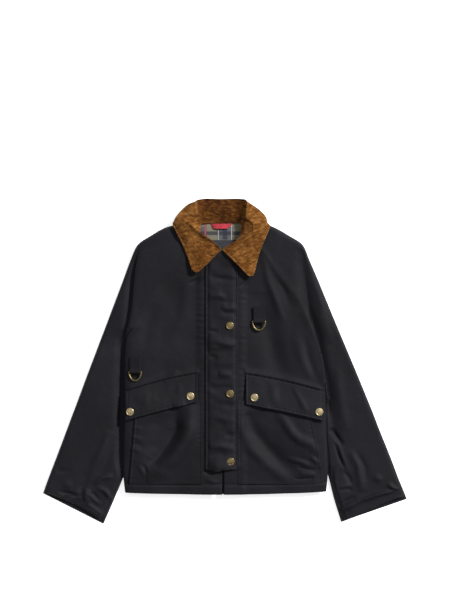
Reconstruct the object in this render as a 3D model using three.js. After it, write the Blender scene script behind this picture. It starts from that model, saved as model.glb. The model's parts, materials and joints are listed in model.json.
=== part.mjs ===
import * as THREE from "three";

// A cropped raglan jacket in smooth dark cotton with a corduroy collar, laid on its back.
// Millimetres, +Z up. X runs across the jacket (+X is the wearer's left), Y runs from the
// hem to the collar, and the jacket lies on the plane Z = 0.

// ---- driving dimensions -------------------------------------------------------------------
const WALL = 2;             // shell cloth with its lining
const SEAM = 0.3;           // gap between pieces that are sewn together
const PATCH_WALL = 1.6;     // patch pocket
const PATCH_LIFT = 0.9;     // ease of pockets and flaps over the curved fronts
const THIN_WALL = 1.2;      // lining, hanger loop and webbing
const LABEL_WALL = 0.8;
const CORD_WALL = 3;        // corduroy collar, two layers
const CENTRE = -7.7;        // centre line of neck and collar
const HEM_Y = -290;
const NECK_Y = 305.5;       // top edge of the back
const SHOULDER_Y = 264;     // where the raglan seams reach the neckline
const FRONT_NECK_Y = 262;
const ZIP_TOP_Y = 236;
const ZIP_RIGHT = -5.5;     // edges of the zip strip between the two fronts
const ZIP_LEFT = 0.4;
const RIM_GAP = 0.45;       // gap at the side seams, which follow a rolled edge
const RIM = WALL + SEAM;    // height of a seam that closes a layer onto the back layer
const UNDER_BODY = 8;       // height of a sleeve where the body lies on it
const UNDER_EASE = 0.9;     // ease of the back layer over a tucked sleeve
const UNDERARM_EASE = 10;   // the back starts to rise this far above the underarm
const SIDE_ROLL = 34;       // width of the roll along the side of the body
const SLEEVE_ROLL = 13;     // width of the roll along the outer edge of a sleeve
const TUCK_ROLL = 5;        // width of the roll along the inner edge of a sleeve
const SIDE_RISE = 6;        // rise of the fronts where a sleeve is tucked below them
const FLY = { right: -42.2, left: 27.5, bottom: -235.4, top: 243, wall: 2 };
const SNAP_RADIUS = 8.6;
const RING = { half: 14.9, drop: 19.5, wire: 1.75, square: 2.6, sides: 8, steps: 26 };
const WEBBING = { width: 24, clearance: 0.3, slope: 8 };
const FLAP_BOW = 3.5;       // how far the sewn edge of a flap bows up in its middle

// ---- tables -------------------------------------------------------------------------------
// Height of the front over the surface, from hem to neck.
const FRONT_HEIGHT = [
  { y: -292, z: 13.5 },
  { y: -100, z: 15.5 },
  { y: 100, z: 16.5 },
  { y: 310, z: 17 },
];

// How much of SIDE_RISE each height of the jacket has.
const RISE = [
  { y: -292, share: 0.35 },
  { y: -220, share: 1 },
  { y: 10, share: 1 },
  { y: 120, share: 0 },
];

// One row for each station of a sleeve, from neck to cuff. `in` is the raglan or underarm
// seam, `fold` the edge of the pleat, `out` the seam along the outside. `onBody` is 1 where
// the inner part lies on top with the fronts and 0 where it is tucked below the body, and
// `low` is the height beyond the fold.
const SLEEVE = {
  right: [
    { inX: 66, inY: 264, foldX: 68, foldY: 276, outX: 74, outY: 306, onBody: 1, low: 16.5 },
    { inX: 88, inY: 239, foldX: 93, foldY: 262, outX: 100, outY: 302, onBody: 1, low: 16.5 },
    { inX: 112, inY: 214, foldX: 122, foldY: 254, outX: 132, outY: 293.7, onBody: 1, low: 16.5 },
    { inX: 137.3, inY: 188.5, foldX: 153, foldY: 246, outX: 163, outY: 276.5, onBody: 1, low: 16 },
    { inX: 155, inY: 167, foldX: 186, foldY: 240, outX: 191.5, outY: 256.5, onBody: 1, low: 13.5 },
    { inX: 167, inY: 149, foldX: 195, foldY: 210, outX: 208, outY: 221, onBody: 1, low: 10.5 },
    { inX: 178, inY: 129, foldX: 199.5, foldY: 170, outX: 222.5, outY: 181.5, onBody: 1, low: 9 },
    { inX: 190, inY: 105, foldX: 203.5, foldY: 128, outX: 239, outY: 137.5, onBody: 1, low: 9 },
    { inX: 199.5, inY: 77, foldX: 211, foldY: 84, outX: 258, outY: 87, onBody: 1, low: 9 },
    { inX: 215.2, inY: 58, foldX: 217.5, foldY: 59.5, outX: 266.5, outY: 64.5, onBody: 0.6, low: 9 },
    { inX: 222.5, inY: 38, foldX: 228, foldY: 39, outX: 276, outY: 40, onBody: 0, low: 9 },
    { inX: 211, inY: 8, foldX: 226, foldY: 8, outX: 288, outY: 8, onBody: 0, low: 11 },
    { inX: 199, inY: -30, foldX: 228, foldY: -30, outX: 302.5, outY: -30, onBody: 0, low: 11 },
    { inX: 191, inY: -80, foldX: 229, foldY: -80, outX: 321, outY: -80, onBody: 0, low: 11 },
    { inX: 191, inY: -130, foldX: 230, foldY: -130, outX: 339.5, outY: -129, onBody: 0, low: 11 },
    { inX: 197, inY: -180, foldX: 232, foldY: -180, outX: 357, outY: -176, onBody: 0, low: 11 },
    { inX: 208, inY: -220, foldX: 236, foldY: -218, outX: 371, outY: -213, onBody: 0, low: 11.5 },
    { inX: 223.7, inY: -251, foldX: 232, foldY: -249.5, outX: 382.5, outY: -243, onBody: 0, low: 12 },
    { inX: 245, inY: -302, foldX: 252.5, foldY: -299, outX: 391.5, outY: -267, onBody: 0, low: 12 },
    { inX: 268.6, inY: -356, foldX: 276, foldY: -352.2, outX: 399.3, outY: -289.3, onBody: 0, low: 12 },
  ],
  left: [
    { inX: 57, inY: 264, foldX: 58, foldY: 278, outX: 61, outY: 307.5, onBody: 1, low: 16.5 },
    { inX: 85.3, inY: 239, foldX: 85, foldY: 268, outX: 85, outY: 303.2, onBody: 1, low: 16.5 },
    { inX: 101.8, inY: 214, foldX: 106, foldY: 262, outX: 111, outY: 293.2, onBody: 1, low: 16.5 },
    { inX: 120.3, inY: 188.5, foldX: 133, foldY: 248, outX: 139.5, outY: 277, onBody: 1, low: 16 },
    { inX: 138.2, inY: 167, foldX: 166, foldY: 238, outX: 171, outY: 255.5, onBody: 1, low: 15.5 },
    { inX: 151, inY: 149, foldX: 174, foldY: 205, outX: 186, outY: 221.5, onBody: 1, low: 14.5 },
    { inX: 165.3, inY: 129, foldX: 179.6, foldY: 168, outX: 203, outY: 182, onBody: 1, low: 13.5 },
    { inX: 176, inY: 105, foldX: 185, foldY: 130, outX: 220, outY: 140.5, onBody: 1, low: 12.5 },
    { inX: 188.1, inY: 77, foldX: 192, foldY: 90, outX: 237, outY: 99, onBody: 1, low: 12 },
    { inX: 195.3, inY: 58, foldX: 198, foldY: 62, outX: 254, outY: 58.5, onBody: 1, low: 11.5 },
    { inX: 202.9, inY: 38, foldX: 205.7, foldY: 39, outX: 266, outY: 30, onBody: 1, low: 11 },
    { inX: 207.2, inY: 21, foldX: 210, foldY: 21, outX: 275.5, outY: 7.5, onBody: 1, low: 11 },
    { inX: 214, inY: -7, foldX: 216.8, foldY: -7, outX: 287, outY: -20, onBody: 1, low: 11 },
    { inX: 217.6, inY: -42, foldX: 220.4, foldY: -42, outX: 303.5, outY: -60, onBody: 1, low: 11 },
    { inX: 221.6, inY: -70, foldX: 224.4, foldY: -70, outX: 317, outY: -93, onBody: 0.6, low: 11 },
    { inX: 224, inY: -94, foldX: 229, foldY: -95, outX: 327, outY: -118, onBody: 0, low: 10.5 },
    { inX: 213, inY: -124, foldX: 230, foldY: -128, outX: 340, outY: -152, onBody: 0, low: 11 },
    { inX: 208, inY: -165, foldX: 231, foldY: -169, outX: 355, outY: -189, onBody: 0, low: 11 },
    { inX: 214, inY: -212, foldX: 236, foldY: -214, outX: 369.5, outY: -226, onBody: 0, low: 11.5 },
    { inX: 228.8, inY: -252, foldX: 237, foldY: -252, outX: 381, outY: -257, onBody: 0, low: 12 },
    { inX: 241, inY: -300, foldX: 249, foldY: -299, outX: 391, outY: -281, onBody: 0, low: 12 },
    { inX: 257, inY: -351.6, foldX: 264.6, foldY: -349, outX: 399.1, outY: -301.8, onBody: 0, low: 12 },
  ],
};

// Outer edge of each front and of the back, from hem to neck: the side seam up to the
// underarm, then the raglan seam.
const EDGE = {
  right: [
    { y: -290, x: 219 },
    { y: -240, x: 223.4 },
    { y: -87, x: 221.1 },
    { y: 21, x: 220 },
    { y: 38, x: 218.5 },
    { y: 58, x: 213.5 },
    { y: 77, x: 199.2 },
    { y: 105, x: 189.7 },
    { y: 129, x: 177.7 },
    { y: 149, x: 166.7 },
    { y: 167, x: 154.7 },
    { y: 188.5, x: 137 },
    { y: 214, x: 111.6 },
    { y: 239, x: 87.6 },
    { y: 264, x: 65.6 },
  ],
  left: [
    { y: -290, x: 222 },
    { y: -240, x: 225.5 },
    { y: -128, x: 221.5 },
    { y: -94, x: 220.8 },
    { y: -70, x: 219.8 },
    { y: -42, x: 217.2 },
    { y: -7, x: 213.6 },
    { y: 21, x: 206.8 },
    { y: 38, x: 202.5 },
    { y: 58, x: 194.9 },
    { y: 77, x: 187.7 },
    { y: 105, x: 175.6 },
    { y: 129, x: 164.9 },
    { y: 149, x: 150.6 },
    { y: 167, x: 137.8 },
    { y: 188.5, x: 119.9 },
    { y: 214, x: 101.4 },
    { y: 239, x: 84.9 },
    { y: 264, x: 56.6 },
  ],
};

// Where the seam of a front leaves the top of the body and where it has reached the side seam.
const UNDERARM = {
  right: { top: 77, bottom: 38 },
  left: { top: -42, bottom: -94 },
};

// Sections of the collar from its front end on the wearer's right, round the back, to its
// other front end: foot of the stand, middle of the stand, crest of the roll, middle and edge
// of the leaf. The leaves lie askew, as the collar fell.
const COLLAR = [
  [[-9.7, 241, 20], [-9.5, 244.5, 24.5], [-8.9, 248, 28], [-35, 221, 29.5], [-61.7, 196.4, 24.5]],
  [[-17, 247, 20], [-18, 251, 27], [-20, 258, 31], [-44, 228, 31.5], [-68.7, 199.5, 24.5]],
  [[-31, 257, 20.4], [-33, 262, 29], [-36.5, 271, 34], [-60, 247, 32], [-80.7, 229, 24]],
  [[-45, 266, 20], [-47, 272, 30], [-51, 280.5, 36], [-76, 268, 32], [-95.7, 263, 24]],
  [[-52.5, 277, 18], [-58, 286, 28], [-77, 301, 36], [-93, 289, 31], [-106, 286, 23.5]],
  [[-53, 290, 14.5], [-66, 301, 24], [-92, 313, 33], [-105, 307, 28], [-113, 304, 21]],
  [[-53, 299, 10.5], [-57, 314, 19], [-63, 328, 30], [-97, 320, 20], [-95, 310, 6]],
  [[-49, 302.5, 8.5], [-56, 322, 15], [-62, 350, 22], [-74, 344, 9], [-80, 327, 1.5]],
  [[-34, 304.5, 7.4], [-39, 331, 11], [-45, 356.5, 12], [-60, 335, 0.8], [-64, 313, 0.4]],
  [[-7.7, 304.5, 7.2], [-7.7, 331, 10.5], [-7.7, 357, 8], [-7.7, 334, 0.4], [-7.7, 311, 0.2]],
  [[18.6, 304.5, 7.4], [23.6, 331, 11], [29.6, 356.5, 12], [44, 337, 0.8], [48.6, 313, 0.4]],
  [[33.6, 302.5, 8.5], [38, 322, 15], [45, 352, 22], [60, 343, 9], [66.6, 328, 1.5]],
  [[35, 298, 10.5], [39, 306, 19], [46, 313, 30], [88, 317, 20], [84, 309, 6]],
  [[34.5, 290, 14.5], [42, 297, 24], [59, 304, 34], [84, 300, 29], [97, 297, 21]],
  [[32, 278, 18], [42, 283, 28], [60.5, 282, 36], [80, 279, 31], [91.8, 280, 23.5]],
  [[27, 268.5, 20], [32, 271, 29], [41, 274.5, 35.5], [66, 261, 32], [81.3, 255, 24]],
  [[17, 257, 20.4], [20, 262, 29], [26.5, 265.5, 34], [50, 240, 32], [69.3, 221, 24]],
  [[4.3, 249, 20], [6, 252, 26], [9, 256, 31], [34.5, 224, 31], [60.3, 190.5, 24.5]],
  [[-5.7, 241, 20], [-5, 244, 24], [-3, 246.8, 28], [24, 219, 29], [53.3, 188.4, 24.5]],
];

const POCKET = {
  right: { sideTop: 194, sideBottom: 209, centre: 50.5, top: -60, outerTop: -98, bottom: -268 },
  left: { sideTop: 184, sideBottom: 216, centre: 28.8, top: -60, outerTop: -98, bottom: -268 },
};

// Corners of the pocket flaps.
const FLAP = {
  right: { centre: 60.5, side: 217, topCentre: -24.6, topSide: -63.5, endCentre: -86.9, endSide: -127.5 },
  left: { centre: 46.4, side: 217, topCentre: -26.4, topSide: -64.5, endCentre: -92.2, endSide: -128 },
};

const SNAPS = [
  { name: "snap_fly_top", x: 10.8, y: 79.4, on: "fly", lift: 0.25 },
  { name: "snap_fly_middle", x: 10.8, y: -70.6, on: "fly", lift: 0.25 },
  { name: "snap_fly_bottom", x: 12.3, y: -219.8, on: "fly", lift: 0.25 },
  { name: "snap_flap_right_centre", x: -75.7, y: -74.4, on: "flap", lift: 0.25 },
  { name: "snap_flap_right_side", x: -206, y: -108, on: "flap", lift: -0.3 },
  { name: "snap_flap_left_centre", x: 64.7, y: -78.3, on: "flap", lift: 0.25 },
  { name: "snap_flap_left_side", x: 204.5, y: -108.5, on: "flap", lift: -0.3 },
];

// Webbing tabs, each with a D-ring: middle of the ring's straight bar, length, and lift and
// tilt over the cloth.
const TABS = [
  { name: "chest", x: 74.2, y: 88.5, length: 32, lift: 0.2, tilt: 0 },
  { name: "side", x: -195.5, y: -21.5, length: 31, lift: 1.2, tilt: -8 },
];

const COLOUR = {
  cloth: 0x232329,
  corduroy: 0x8a5726,
  brass: 0xa08a58,
  lining: 0x4d5560,
  label: 0x2e3238,
  loop: 0xc8323f,
  webbing: 0x1d1d21,
};

// ---- numbers along a table ----------------------------------------------------------------
const clamp01 = (value) => Math.min(1, Math.max(0, value));
const mix = (from, to, share) => from + (to - from) * share;
const smooth = (value, from, to) => {
  const t = clamp01((value - from) / (to - from));
  return t * t * (3 - 2 * t);
};
// Height of a quarter ellipse, 0 at its rim and 1 at its top.
const quarter = (share) => Math.sqrt(1 - (1 - clamp01(share)) ** 2);

function along(table, value, column) {
  const next = table.findIndex((row) => row.y >= value);
  if (next === 0) return table[0][column];
  if (next < 0) return table[table.length - 1][column];
  const a = table[next - 1];
  const b = table[next];
  return mix(a[column], b[column], (value - a.y) / (b.y - a.y));
}

const signOf = (side) => (side === "left" ? 1 : -1);
const sideOf = (x) => (x > 0 ? "left" : "right");

// ---- the surfaces that everything lies on ----------------------------------------------------
// Inner edge of a tucked sleeve at a height of the jacket; above the underarm it stays outside.
function tuckedEdge(side, y) {
  const rows = SLEEVE[side].filter((row) => row.onBody === 0);
  const table = rows.map((row) => ({ y: row.inY, x: row.inX })).reverse();
  return along(table, y, "x");
}

function backTop(x, y) {
  const side = sideOf(x);
  const arm = UNDERARM[side];
  const inner = tuckedEdge(side, y);
  const across = smooth(Math.abs(x), inner - SIDE_ROLL, inner - TUCK_ROLL);
  const down = smooth(arm.top + UNDERARM_EASE - y, 0, arm.top - arm.bottom);
  return WALL + (UNDER_BODY + UNDER_EASE) * across * down;
}

// Height of the front layer away from its side roll.
function frontPlain(x, y) {
  const rise = SIDE_RISE * smooth(Math.abs(x), 100, 190) * along(RISE, y, "share");
  return along(FRONT_HEIGHT, y, "z") + rise;
}

function frontRim(side, y) {
  const x = signOf(side) * along(EDGE[side], y, "x");
  const arm = UNDERARM[side];
  const onTop = smooth(y, arm.bottom, arm.top);
  return mix(backTop(x, y) + RIM_GAP, frontPlain(x, y), onTop);
}

function frontTop(x, y) {
  const side = sideOf(x);
  const rim = frontRim(side, y);
  const inside = (along(EDGE[side], y, "x") - Math.abs(x)) / SIDE_ROLL;
  return rim + (frontPlain(x, y) - rim) * quarter(inside);
}

function frontNormal(x, y) {
  const step = 0.5;
  const dx = (frontTop(x + step, y) - frontTop(x - step, y)) / (2 * step);
  const dy = (frontTop(x, y + step) - frontTop(x, y - step)) / (2 * step);
  return new THREE.Vector3(-dx, -dy, 1).normalize();
}

// Point above the front layer, moved out along the normal.
function onFront(x, y, height) {
  return new THREE.Vector3(x, y, frontTop(x, y)).addScaledVector(frontNormal(x, y), height);
}

// ---- solids ------------------------------------------------------------------------------------
// A cloth wall: `grid` holds rows of points on its outer face, the wall goes inwards, and
// no point of its inner face lies below `floorAt`.
function sheetGeometry(grid, wall, floorAt) {
  const rows = grid.length;
  const columns = grid[0].length;
  const at = (i, j) => grid[Math.min(rows - 1, Math.max(0, i))][Math.min(columns - 1, Math.max(0, j))];
  const positions = [];
  const inner = [];
  for (let i = 0; i < rows; i += 1) {
    for (let j = 0; j < columns; j += 1) {
      const down = at(i + 1, j).clone().sub(at(i - 1, j));
      const over = at(i, j + 1).clone().sub(at(i, j - 1));
      const normal = down.cross(over).normalize();
      const inside = at(i, j).clone().addScaledVector(normal, -wall);
      inside.z = Math.max(inside.z, floorAt(inside.x, inside.y));
      positions.push(...at(i, j).toArray());
      inner.push(...inside.toArray());
    }
  }
  positions.push(...inner);
  const offset = rows * columns;
  const outerAt = (i, j) => i * columns + j;
  const index = [];
  const quad = (a, b, c, d) => index.push(a, b, c, a, c, d);
  for (let i = 0; i < rows - 1; i += 1) {
    for (let j = 0; j < columns - 1; j += 1) {
      const corners = [outerAt(i, j), outerAt(i + 1, j), outerAt(i + 1, j + 1), outerAt(i, j + 1)];
      quad(...corners);
      quad(...corners.map((corner) => corner + offset).reverse());
    }
  }
  const wallAlong = (a, b) => quad(a, a + offset, b + offset, b);
  for (let j = 0; j < columns - 1; j += 1) {
    wallAlong(outerAt(0, j + 1), outerAt(0, j));
    wallAlong(outerAt(rows - 1, j), outerAt(rows - 1, j + 1));
  }
  for (let i = 0; i < rows - 1; i += 1) {
    wallAlong(outerAt(i, 0), outerAt(i + 1, 0));
    wallAlong(outerAt(i + 1, columns - 1), outerAt(i, columns - 1));
  }
  const geometry = new THREE.BufferGeometry();
  geometry.setAttribute("position", new THREE.Float32BufferAttribute(positions, 3));
  geometry.setIndex(index);
  geometry.computeVertexNormals();
  return geometry;
}

const jacket = new THREE.Group();

function material(colour, roughness, metalness = 0) {
  return new THREE.MeshStandardMaterial({ color: colour, roughness, metalness });
}

function addMesh(name, geometry, finish, parent = jacket) {
  const mesh = new THREE.Mesh(geometry, finish);
  mesh.name = name;
  parent.add(mesh);
  return mesh;
}

// Rows run so that the outer face looks up: mirrored grids are read the other way round.
function addSheet(name, grid, wall, finish, { flip = false, floorAt = () => 0 } = {}) {
  const rows = flip ? grid.map((row) => [...row].reverse()) : grid;
  addMesh(name, sheetGeometry(rows, wall, floorAt), finish);
}

const shares = (count) => Array.from({ length: count + 1 }, (_, i) => i / count);
const rollShares = (count) => shares(count).map((t) => 1 - Math.cos((t * Math.PI) / 2));

// ---- body ----------------------------------------------------------------------------------------
const clothFinish = material(COLOUR.cloth, 0.62);
const BODY_ROWS = [
  HEM_Y, -262, -230, -200, -160, -128, -94, -70, -42, -7, 21, 38, 58, 77, 105, 129, 149, 167,
  188.5, 214, 239, 250,
];

// Inner edge of a front: straight along the zip, then the neckline.
function frontInner(side, y) {
  const sign = signOf(side);
  const straight = (side === "left" ? ZIP_LEFT : ZIP_RIGHT) + sign * SEAM;
  if (y < ZIP_TOP_Y) return straight;
  const neck = CENTRE + sign * mix(1, 34, smooth(y, ZIP_TOP_Y, FRONT_NECK_Y));
  return sign * Math.max(sign * straight, sign * neck);
}

function addFront(side) {
  const grid = [...BODY_ROWS, FRONT_NECK_Y - 2].map((y) => {
    const inner = Math.abs(frontInner(side, y));
    const edge = along(EDGE[side], y, "x");
    const roll = Math.min(SIDE_ROLL, (edge - inner) * 0.4);
    const plain = shares(6).map((t) => mix(inner, edge - roll, t));
    const rolled = rollShares(5).reverse().slice(1).map((t) => edge - roll * t);
    return [...plain, ...rolled].map((across) => {
      const x = signOf(side) * across;
      return new THREE.Vector3(x, y, frontTop(x, y));
    });
  });
  const floorAt = (x, y) => backTop(x, y) + RIM_GAP;
  addSheet(`front_${side}`, grid, WALL, clothFinish, { flip: side === "left", floorAt });
}

// Edge of the back: as the fronts up to the shoulder, then beside the neck end of a sleeve.
function backEdge(side, y) {
  if (y <= SHOULDER_Y) return along(EDGE[side], y, "x");
  const neckEnd = SLEEVE[side][0];
  const line = [{ y: neckEnd.inY, x: neckEnd.inX }, { y: neckEnd.outY, x: neckEnd.outX }];
  return along(line, y, "x") - RIM_GAP;
}

function addBack() {
  const halfShares = [0, 0.2, 0.4, 0.58, 0.7, 0.78, 0.85, 0.92, 1];
  const grid = [...BODY_ROWS, SHOULDER_Y, 285, NECK_Y].map((y) => {
    const right = halfShares.slice(1).reverse().map((t) => -backEdge("right", y) * t);
    const left = halfShares.map((t) => backEdge("left", y) * t);
    return [...right, ...left].map((x) => new THREE.Vector3(x, y, backTop(x, y)));
  });
  addSheet("back", grid, WALL, clothFinish, { flip: true });
}

// ---- sleeves -------------------------------------------------------------------------------------
function sleeveFrontRow(side, row) {
  const sign = signOf(side);
  const point = (x, y, z) => new THREE.Vector3(sign * x, y, z);
  const start = point(row.inX, row.inY, 0);
  const fold = point(row.foldX, row.foldY, 0);
  const end = point(row.outX, row.outY, 0);
  const onTop = (p) => frontPlain(p.x, p.y);
  const topAt = (p) => mix(UNDER_BODY, onTop(p), row.onBody);
  const rimIn = mix(RIM, onTop(start), row.onBody);
  const inward = fold.clone().sub(start);
  const inRoll = Math.min(TUCK_ROLL, inward.length() * 0.4);
  const grid = rollShares(3).map((t) => {
    const p = start.clone().addScaledVector(inward.clone().normalize(), inRoll * t);
    p.z = rimIn + (topAt(p) - rimIn) * quarter(t);
    return p;
  });
  const plainStart = grid[grid.length - 1].clone().setZ(0);
  shares(2).slice(1).forEach((t) => {
    const p = plainStart.clone().lerp(fold, t);
    p.z = topAt(p);
    grid.push(p);
  });
  const outward = end.clone().sub(fold);
  const length = outward.length();
  const outRoll = Math.min(SLEEVE_ROLL, length * 0.55);
  const foot = Math.min(5, length * 0.2);
  [0.35, 0.75, 1].forEach((t) => {
    const p = fold.clone().addScaledVector(outward.clone().normalize(), foot * t);
    p.z = mix(topAt(fold), row.low, smooth(t, 0, 1));
    grid.push(p);
  });
  const rolledFrom = length - outRoll;
  shares(3).slice(1).forEach((t) => {
    const p = fold.clone().addScaledVector(outward.clone().normalize(), mix(foot, rolledFrom, t));
    p.z = row.low;
    grid.push(p);
  });
  rollShares(5).reverse().slice(1).forEach((t) => {
    const p = end.clone().addScaledVector(outward.clone().normalize(), -outRoll * t);
    p.z = RIM + (row.low - RIM) * quarter(t);
    grid.push(p);
  });
  return grid;
}

function addSleeve(side) {
  const sign = signOf(side);
  const front = SLEEVE[side].map((row) => sleeveFrontRow(side, row));
  addSheet(`sleeve_front_${side}`, front, WALL, clothFinish, {
    flip: side === "right",
    floorAt: () => RIM,
  });
  const back = SLEEVE[side].map((row) => shares(4).map((t) => new THREE.Vector3(
    sign * mix(row.inX, row.outX, t),
    mix(row.inY, row.outY, t),
    WALL,
  )));
  addSheet(`sleeve_back_${side}`, back, WALL, clothFinish, { flip: side === "right" });
}

// ---- collar --------------------------------------------------------------------------------------
function roundedLine(points) {
  return new THREE.CatmullRomCurve3(points, false, "centripetal");
}

function addCollar() {
  const sections = COLLAR.map((section) => section.map((point) => new THREE.Vector3(...point)));
  const lines = sections[0].map((_, k) => roundedLine(sections.map((section) => section[k])));
  const grid = shares((sections.length - 1) * 2).map((t) => {
    const section = roundedLine(lines.map((line) => line.getPoint(t)));
    return shares(8).map((s) => section.getPoint(s));
  });
  addSheet("collar", grid, CORD_WALL, material(COLOUR.corduroy, 0.9));
}

// ---- pieces on the fronts ------------------------------------------------------------------------
function addFly() {
  const rows = BODY_ROWS.filter((y) => y > FLY.bottom && y < FLY.top);
  const grid = [FLY.bottom, ...rows, FLY.top].map((y) => shares(4).map((t) => (
    onFront(mix(FLY.right, FLY.left, t), y, SEAM + FLY.wall))));
  addSheet("storm_fly", grid, FLY.wall, clothFinish, { flip: true });
}

function addZip() {
  const grid = BODY_ROWS.filter((y) => y < ZIP_TOP_Y).map((y) => [ZIP_RIGHT, ZIP_LEFT].map((x) => (
    new THREE.Vector3(x, y, frontPlain(x, y) - 0.5))));
  addSheet("zip", grid, WALL - 0.5, material(COLOUR.webbing, 0.7), { flip: true });
}

function addPocket(side) {
  const { sideTop, sideBottom, centre, top, outerTop, bottom } = POCKET[side];
  const sign = signOf(side);
  const grid = shares(6).map((t) => shares(7).map((s) => {
    const start = mix(top, outerTop, s);
    const across = mix(centre, mix(sideTop, sideBottom, t), s);
    return onFront(sign * across, mix(start, bottom, t), PATCH_LIFT + PATCH_WALL);
  }));
  addSheet(`pocket_${side}`, grid, PATCH_WALL, clothFinish, { flip: side === "right" });
}

function addFlap(side) {
  const { centre, side: outer, topCentre, topSide, endCentre, endSide } = FLAP[side];
  const sign = signOf(side);
  const overPocket = PATCH_WALL + 2 * SEAM;
  const grid = [0, 0.18, 0.4, 0.7, 1].map((t) => shares(9).map((s) => {
    const top = mix(topCentre, topSide, s) + FLAP_BOW * Math.sin(Math.PI * s);
    const end = mix(endCentre, endSide, s) + 0.4 * FLAP_BOW * Math.sin(Math.PI * s);
    const lifted = PATCH_LIFT + overPocket * smooth(t, 0, 0.4);
    return onFront(sign * mix(centre, outer, s), mix(top, end, t), lifted + WALL);
  }));
  addSheet(`flap_${side}`, grid, WALL, clothFinish, { flip: side === "right" });
}

function addSnap({ name, x, y, on, lift }) {
  const under = on === "fly" ? SEAM + FLY.wall : PATCH_LIFT + PATCH_WALL + 2 * SEAM + WALL;
  const profile = [
    [0, 0],
    [SNAP_RADIUS - 0.6, 0],
    [SNAP_RADIUS, 0.7],
    [SNAP_RADIUS - 0.5, 1.6],
    [SNAP_RADIUS - 2.4, 2.3],
    [0, 2.7],
  ].map(([radius, height]) => new THREE.Vector2(radius, height));
  const geometry = new THREE.LatheGeometry(profile, 16).rotateX(Math.PI / 2);
  const mesh = addMesh(name, geometry, material(COLOUR.brass, 0.35, 1));
  mesh.position.copy(onFront(x, y, under + SEAM + lift));
  mesh.quaternion.setFromUnitVectors(new THREE.Vector3(0, 0, 1), frontNormal(x, y));
}

// A wire D: a straight bar along X and a squarish arc below it.
function ringGeometry() {
  const { half, drop, wire, square, sides, steps } = RING;
  const power = 2 / square;
  const arc = shares(steps).map((t) => {
    const angle = t * Math.PI;
    const x = half * Math.sign(Math.cos(angle)) * Math.abs(Math.cos(angle)) ** power;
    return new THREE.Vector3(x, -drop * Math.sin(angle) ** power, 0);
  });
  const bar = [-0.8, -0.3, 0.3, 0.8].map((t) => new THREE.Vector3(half * t, 0, 0));
  const path = [...arc, ...bar];
  const positions = [];
  const index = [];
  path.forEach((point, i) => {
    const before = path[(i + path.length - 1) % path.length];
    const after = path[(i + 1) % path.length];
    const across = after.clone().sub(before).normalize().cross(new THREE.Vector3(0, 0, 1));
    for (let k = 0; k < sides; k += 1) {
      const angle = (k / sides) * 2 * Math.PI;
      const p = point.clone().addScaledVector(across, wire * Math.cos(angle));
      positions.push(p.x, p.y, wire * Math.sin(angle));
      const a = i * sides + k;
      const b = i * sides + ((k + 1) % sides);
      const c = ((i + 1) % path.length) * sides + ((k + 1) % sides);
      const d = ((i + 1) % path.length) * sides + k;
      index.push(a, c, b, a, d, c);
    }
  });
  const geometry = new THREE.BufferGeometry();
  geometry.setAttribute("position", new THREE.Float32BufferAttribute(positions, 3));
  geometry.setIndex(index);
  geometry.computeVertexNormals();
  return geometry;
}

// Webbing folded round the bar and sewn flat: its side view, pulled out across its width.
function webbingGeometry(length) {
  const bar = RING.wire + WEBBING.clearance;
  const outer = bar + THIN_WALL;
  const flat = 2 * THIN_WALL + SEAM;
  const shape = new THREE.Shape();
  shape.moveTo(length, -outer);
  shape.lineTo(0, -outer);
  shape.absarc(0, 0, outer, -Math.PI / 2, Math.PI / 2, true);
  shape.lineTo(WEBBING.slope, flat - outer);
  shape.lineTo(length, flat - outer);
  shape.closePath();
  const eye = new THREE.Path();
  eye.absarc(0, 0, bar, 0, 2 * Math.PI, false);
  shape.holes.push(eye);
  const geometry = new THREE.ExtrudeGeometry(shape, {
    depth: WEBBING.width,
    bevelEnabled: false,
    curveSegments: 10,
  });
  geometry.translate(0, 0, -WEBBING.width / 2);
  const turn = new THREE.Matrix4().makeBasis(
    new THREE.Vector3(0, 1, 0),
    new THREE.Vector3(0, 0, 1),
    new THREE.Vector3(1, 0, 0),
  );
  return geometry.applyMatrix4(turn);
}

function addTab({ name, x, y, length, lift, tilt }) {
  const barHeight = SEAM + lift + THIN_WALL + WEBBING.clearance + RING.wire;
  const group = new THREE.Group();
  const normal = frontNormal(x, y + length / 2);
  const across = new THREE.Vector3(1, 0, -normal.x / normal.z).normalize();
  const up = normal.clone().cross(across).normalize();
  group.position.copy(onFront(x, y, barHeight));
  group.quaternion.setFromRotationMatrix(new THREE.Matrix4().makeBasis(across, up, normal));
  group.rotateY(THREE.MathUtils.degToRad(tilt));
  addMesh(`tab_${name}`, webbingGeometry(length), material(COLOUR.webbing, 0.8), group);
  addMesh(`dring_${name}`, ringGeometry(), material(COLOUR.brass, 0.35, 1), group);
  jacket.add(group);
}

// ---- inside the back neck ------------------------------------------------------------------------
function addFlatPatch(name, corners, bottom, wall, finish) {
  const [right, left] = corners;
  const grid = [0, 1].map((t) => [right[t], left[t]].map(([x, y]) => (
    new THREE.Vector3(x, y, bottom + wall))));
  addSheet(name, grid, wall, finish, { flip: true });
}

function addNeckInside() {
  const liningBottom = WALL + SEAM;
  const onLining = liningBottom + THIN_WALL + SEAM;
  const liningCorners = [[[-66, 205], [-66, 305]], [[50, 205], [50, 305]]];
  addFlatPatch("lining", liningCorners, liningBottom, THIN_WALL, material(COLOUR.lining, 0.8));
  const labelCorners = [[[-44, 222], [-44, 267]], [[26, 222], [26, 267]]];
  addFlatPatch("label", labelCorners, onLining, LABEL_WALL, material(COLOUR.label, 0.7));
  const loopCorners = [[[-26, 291.7], [-30.6, 302.4]], [[6.6, 291.7], [16.5, 302.4]]];
  addFlatPatch("hanger_loop", loopCorners, onLining, THIN_WALL, material(COLOUR.loop, 0.6));
}

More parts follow.
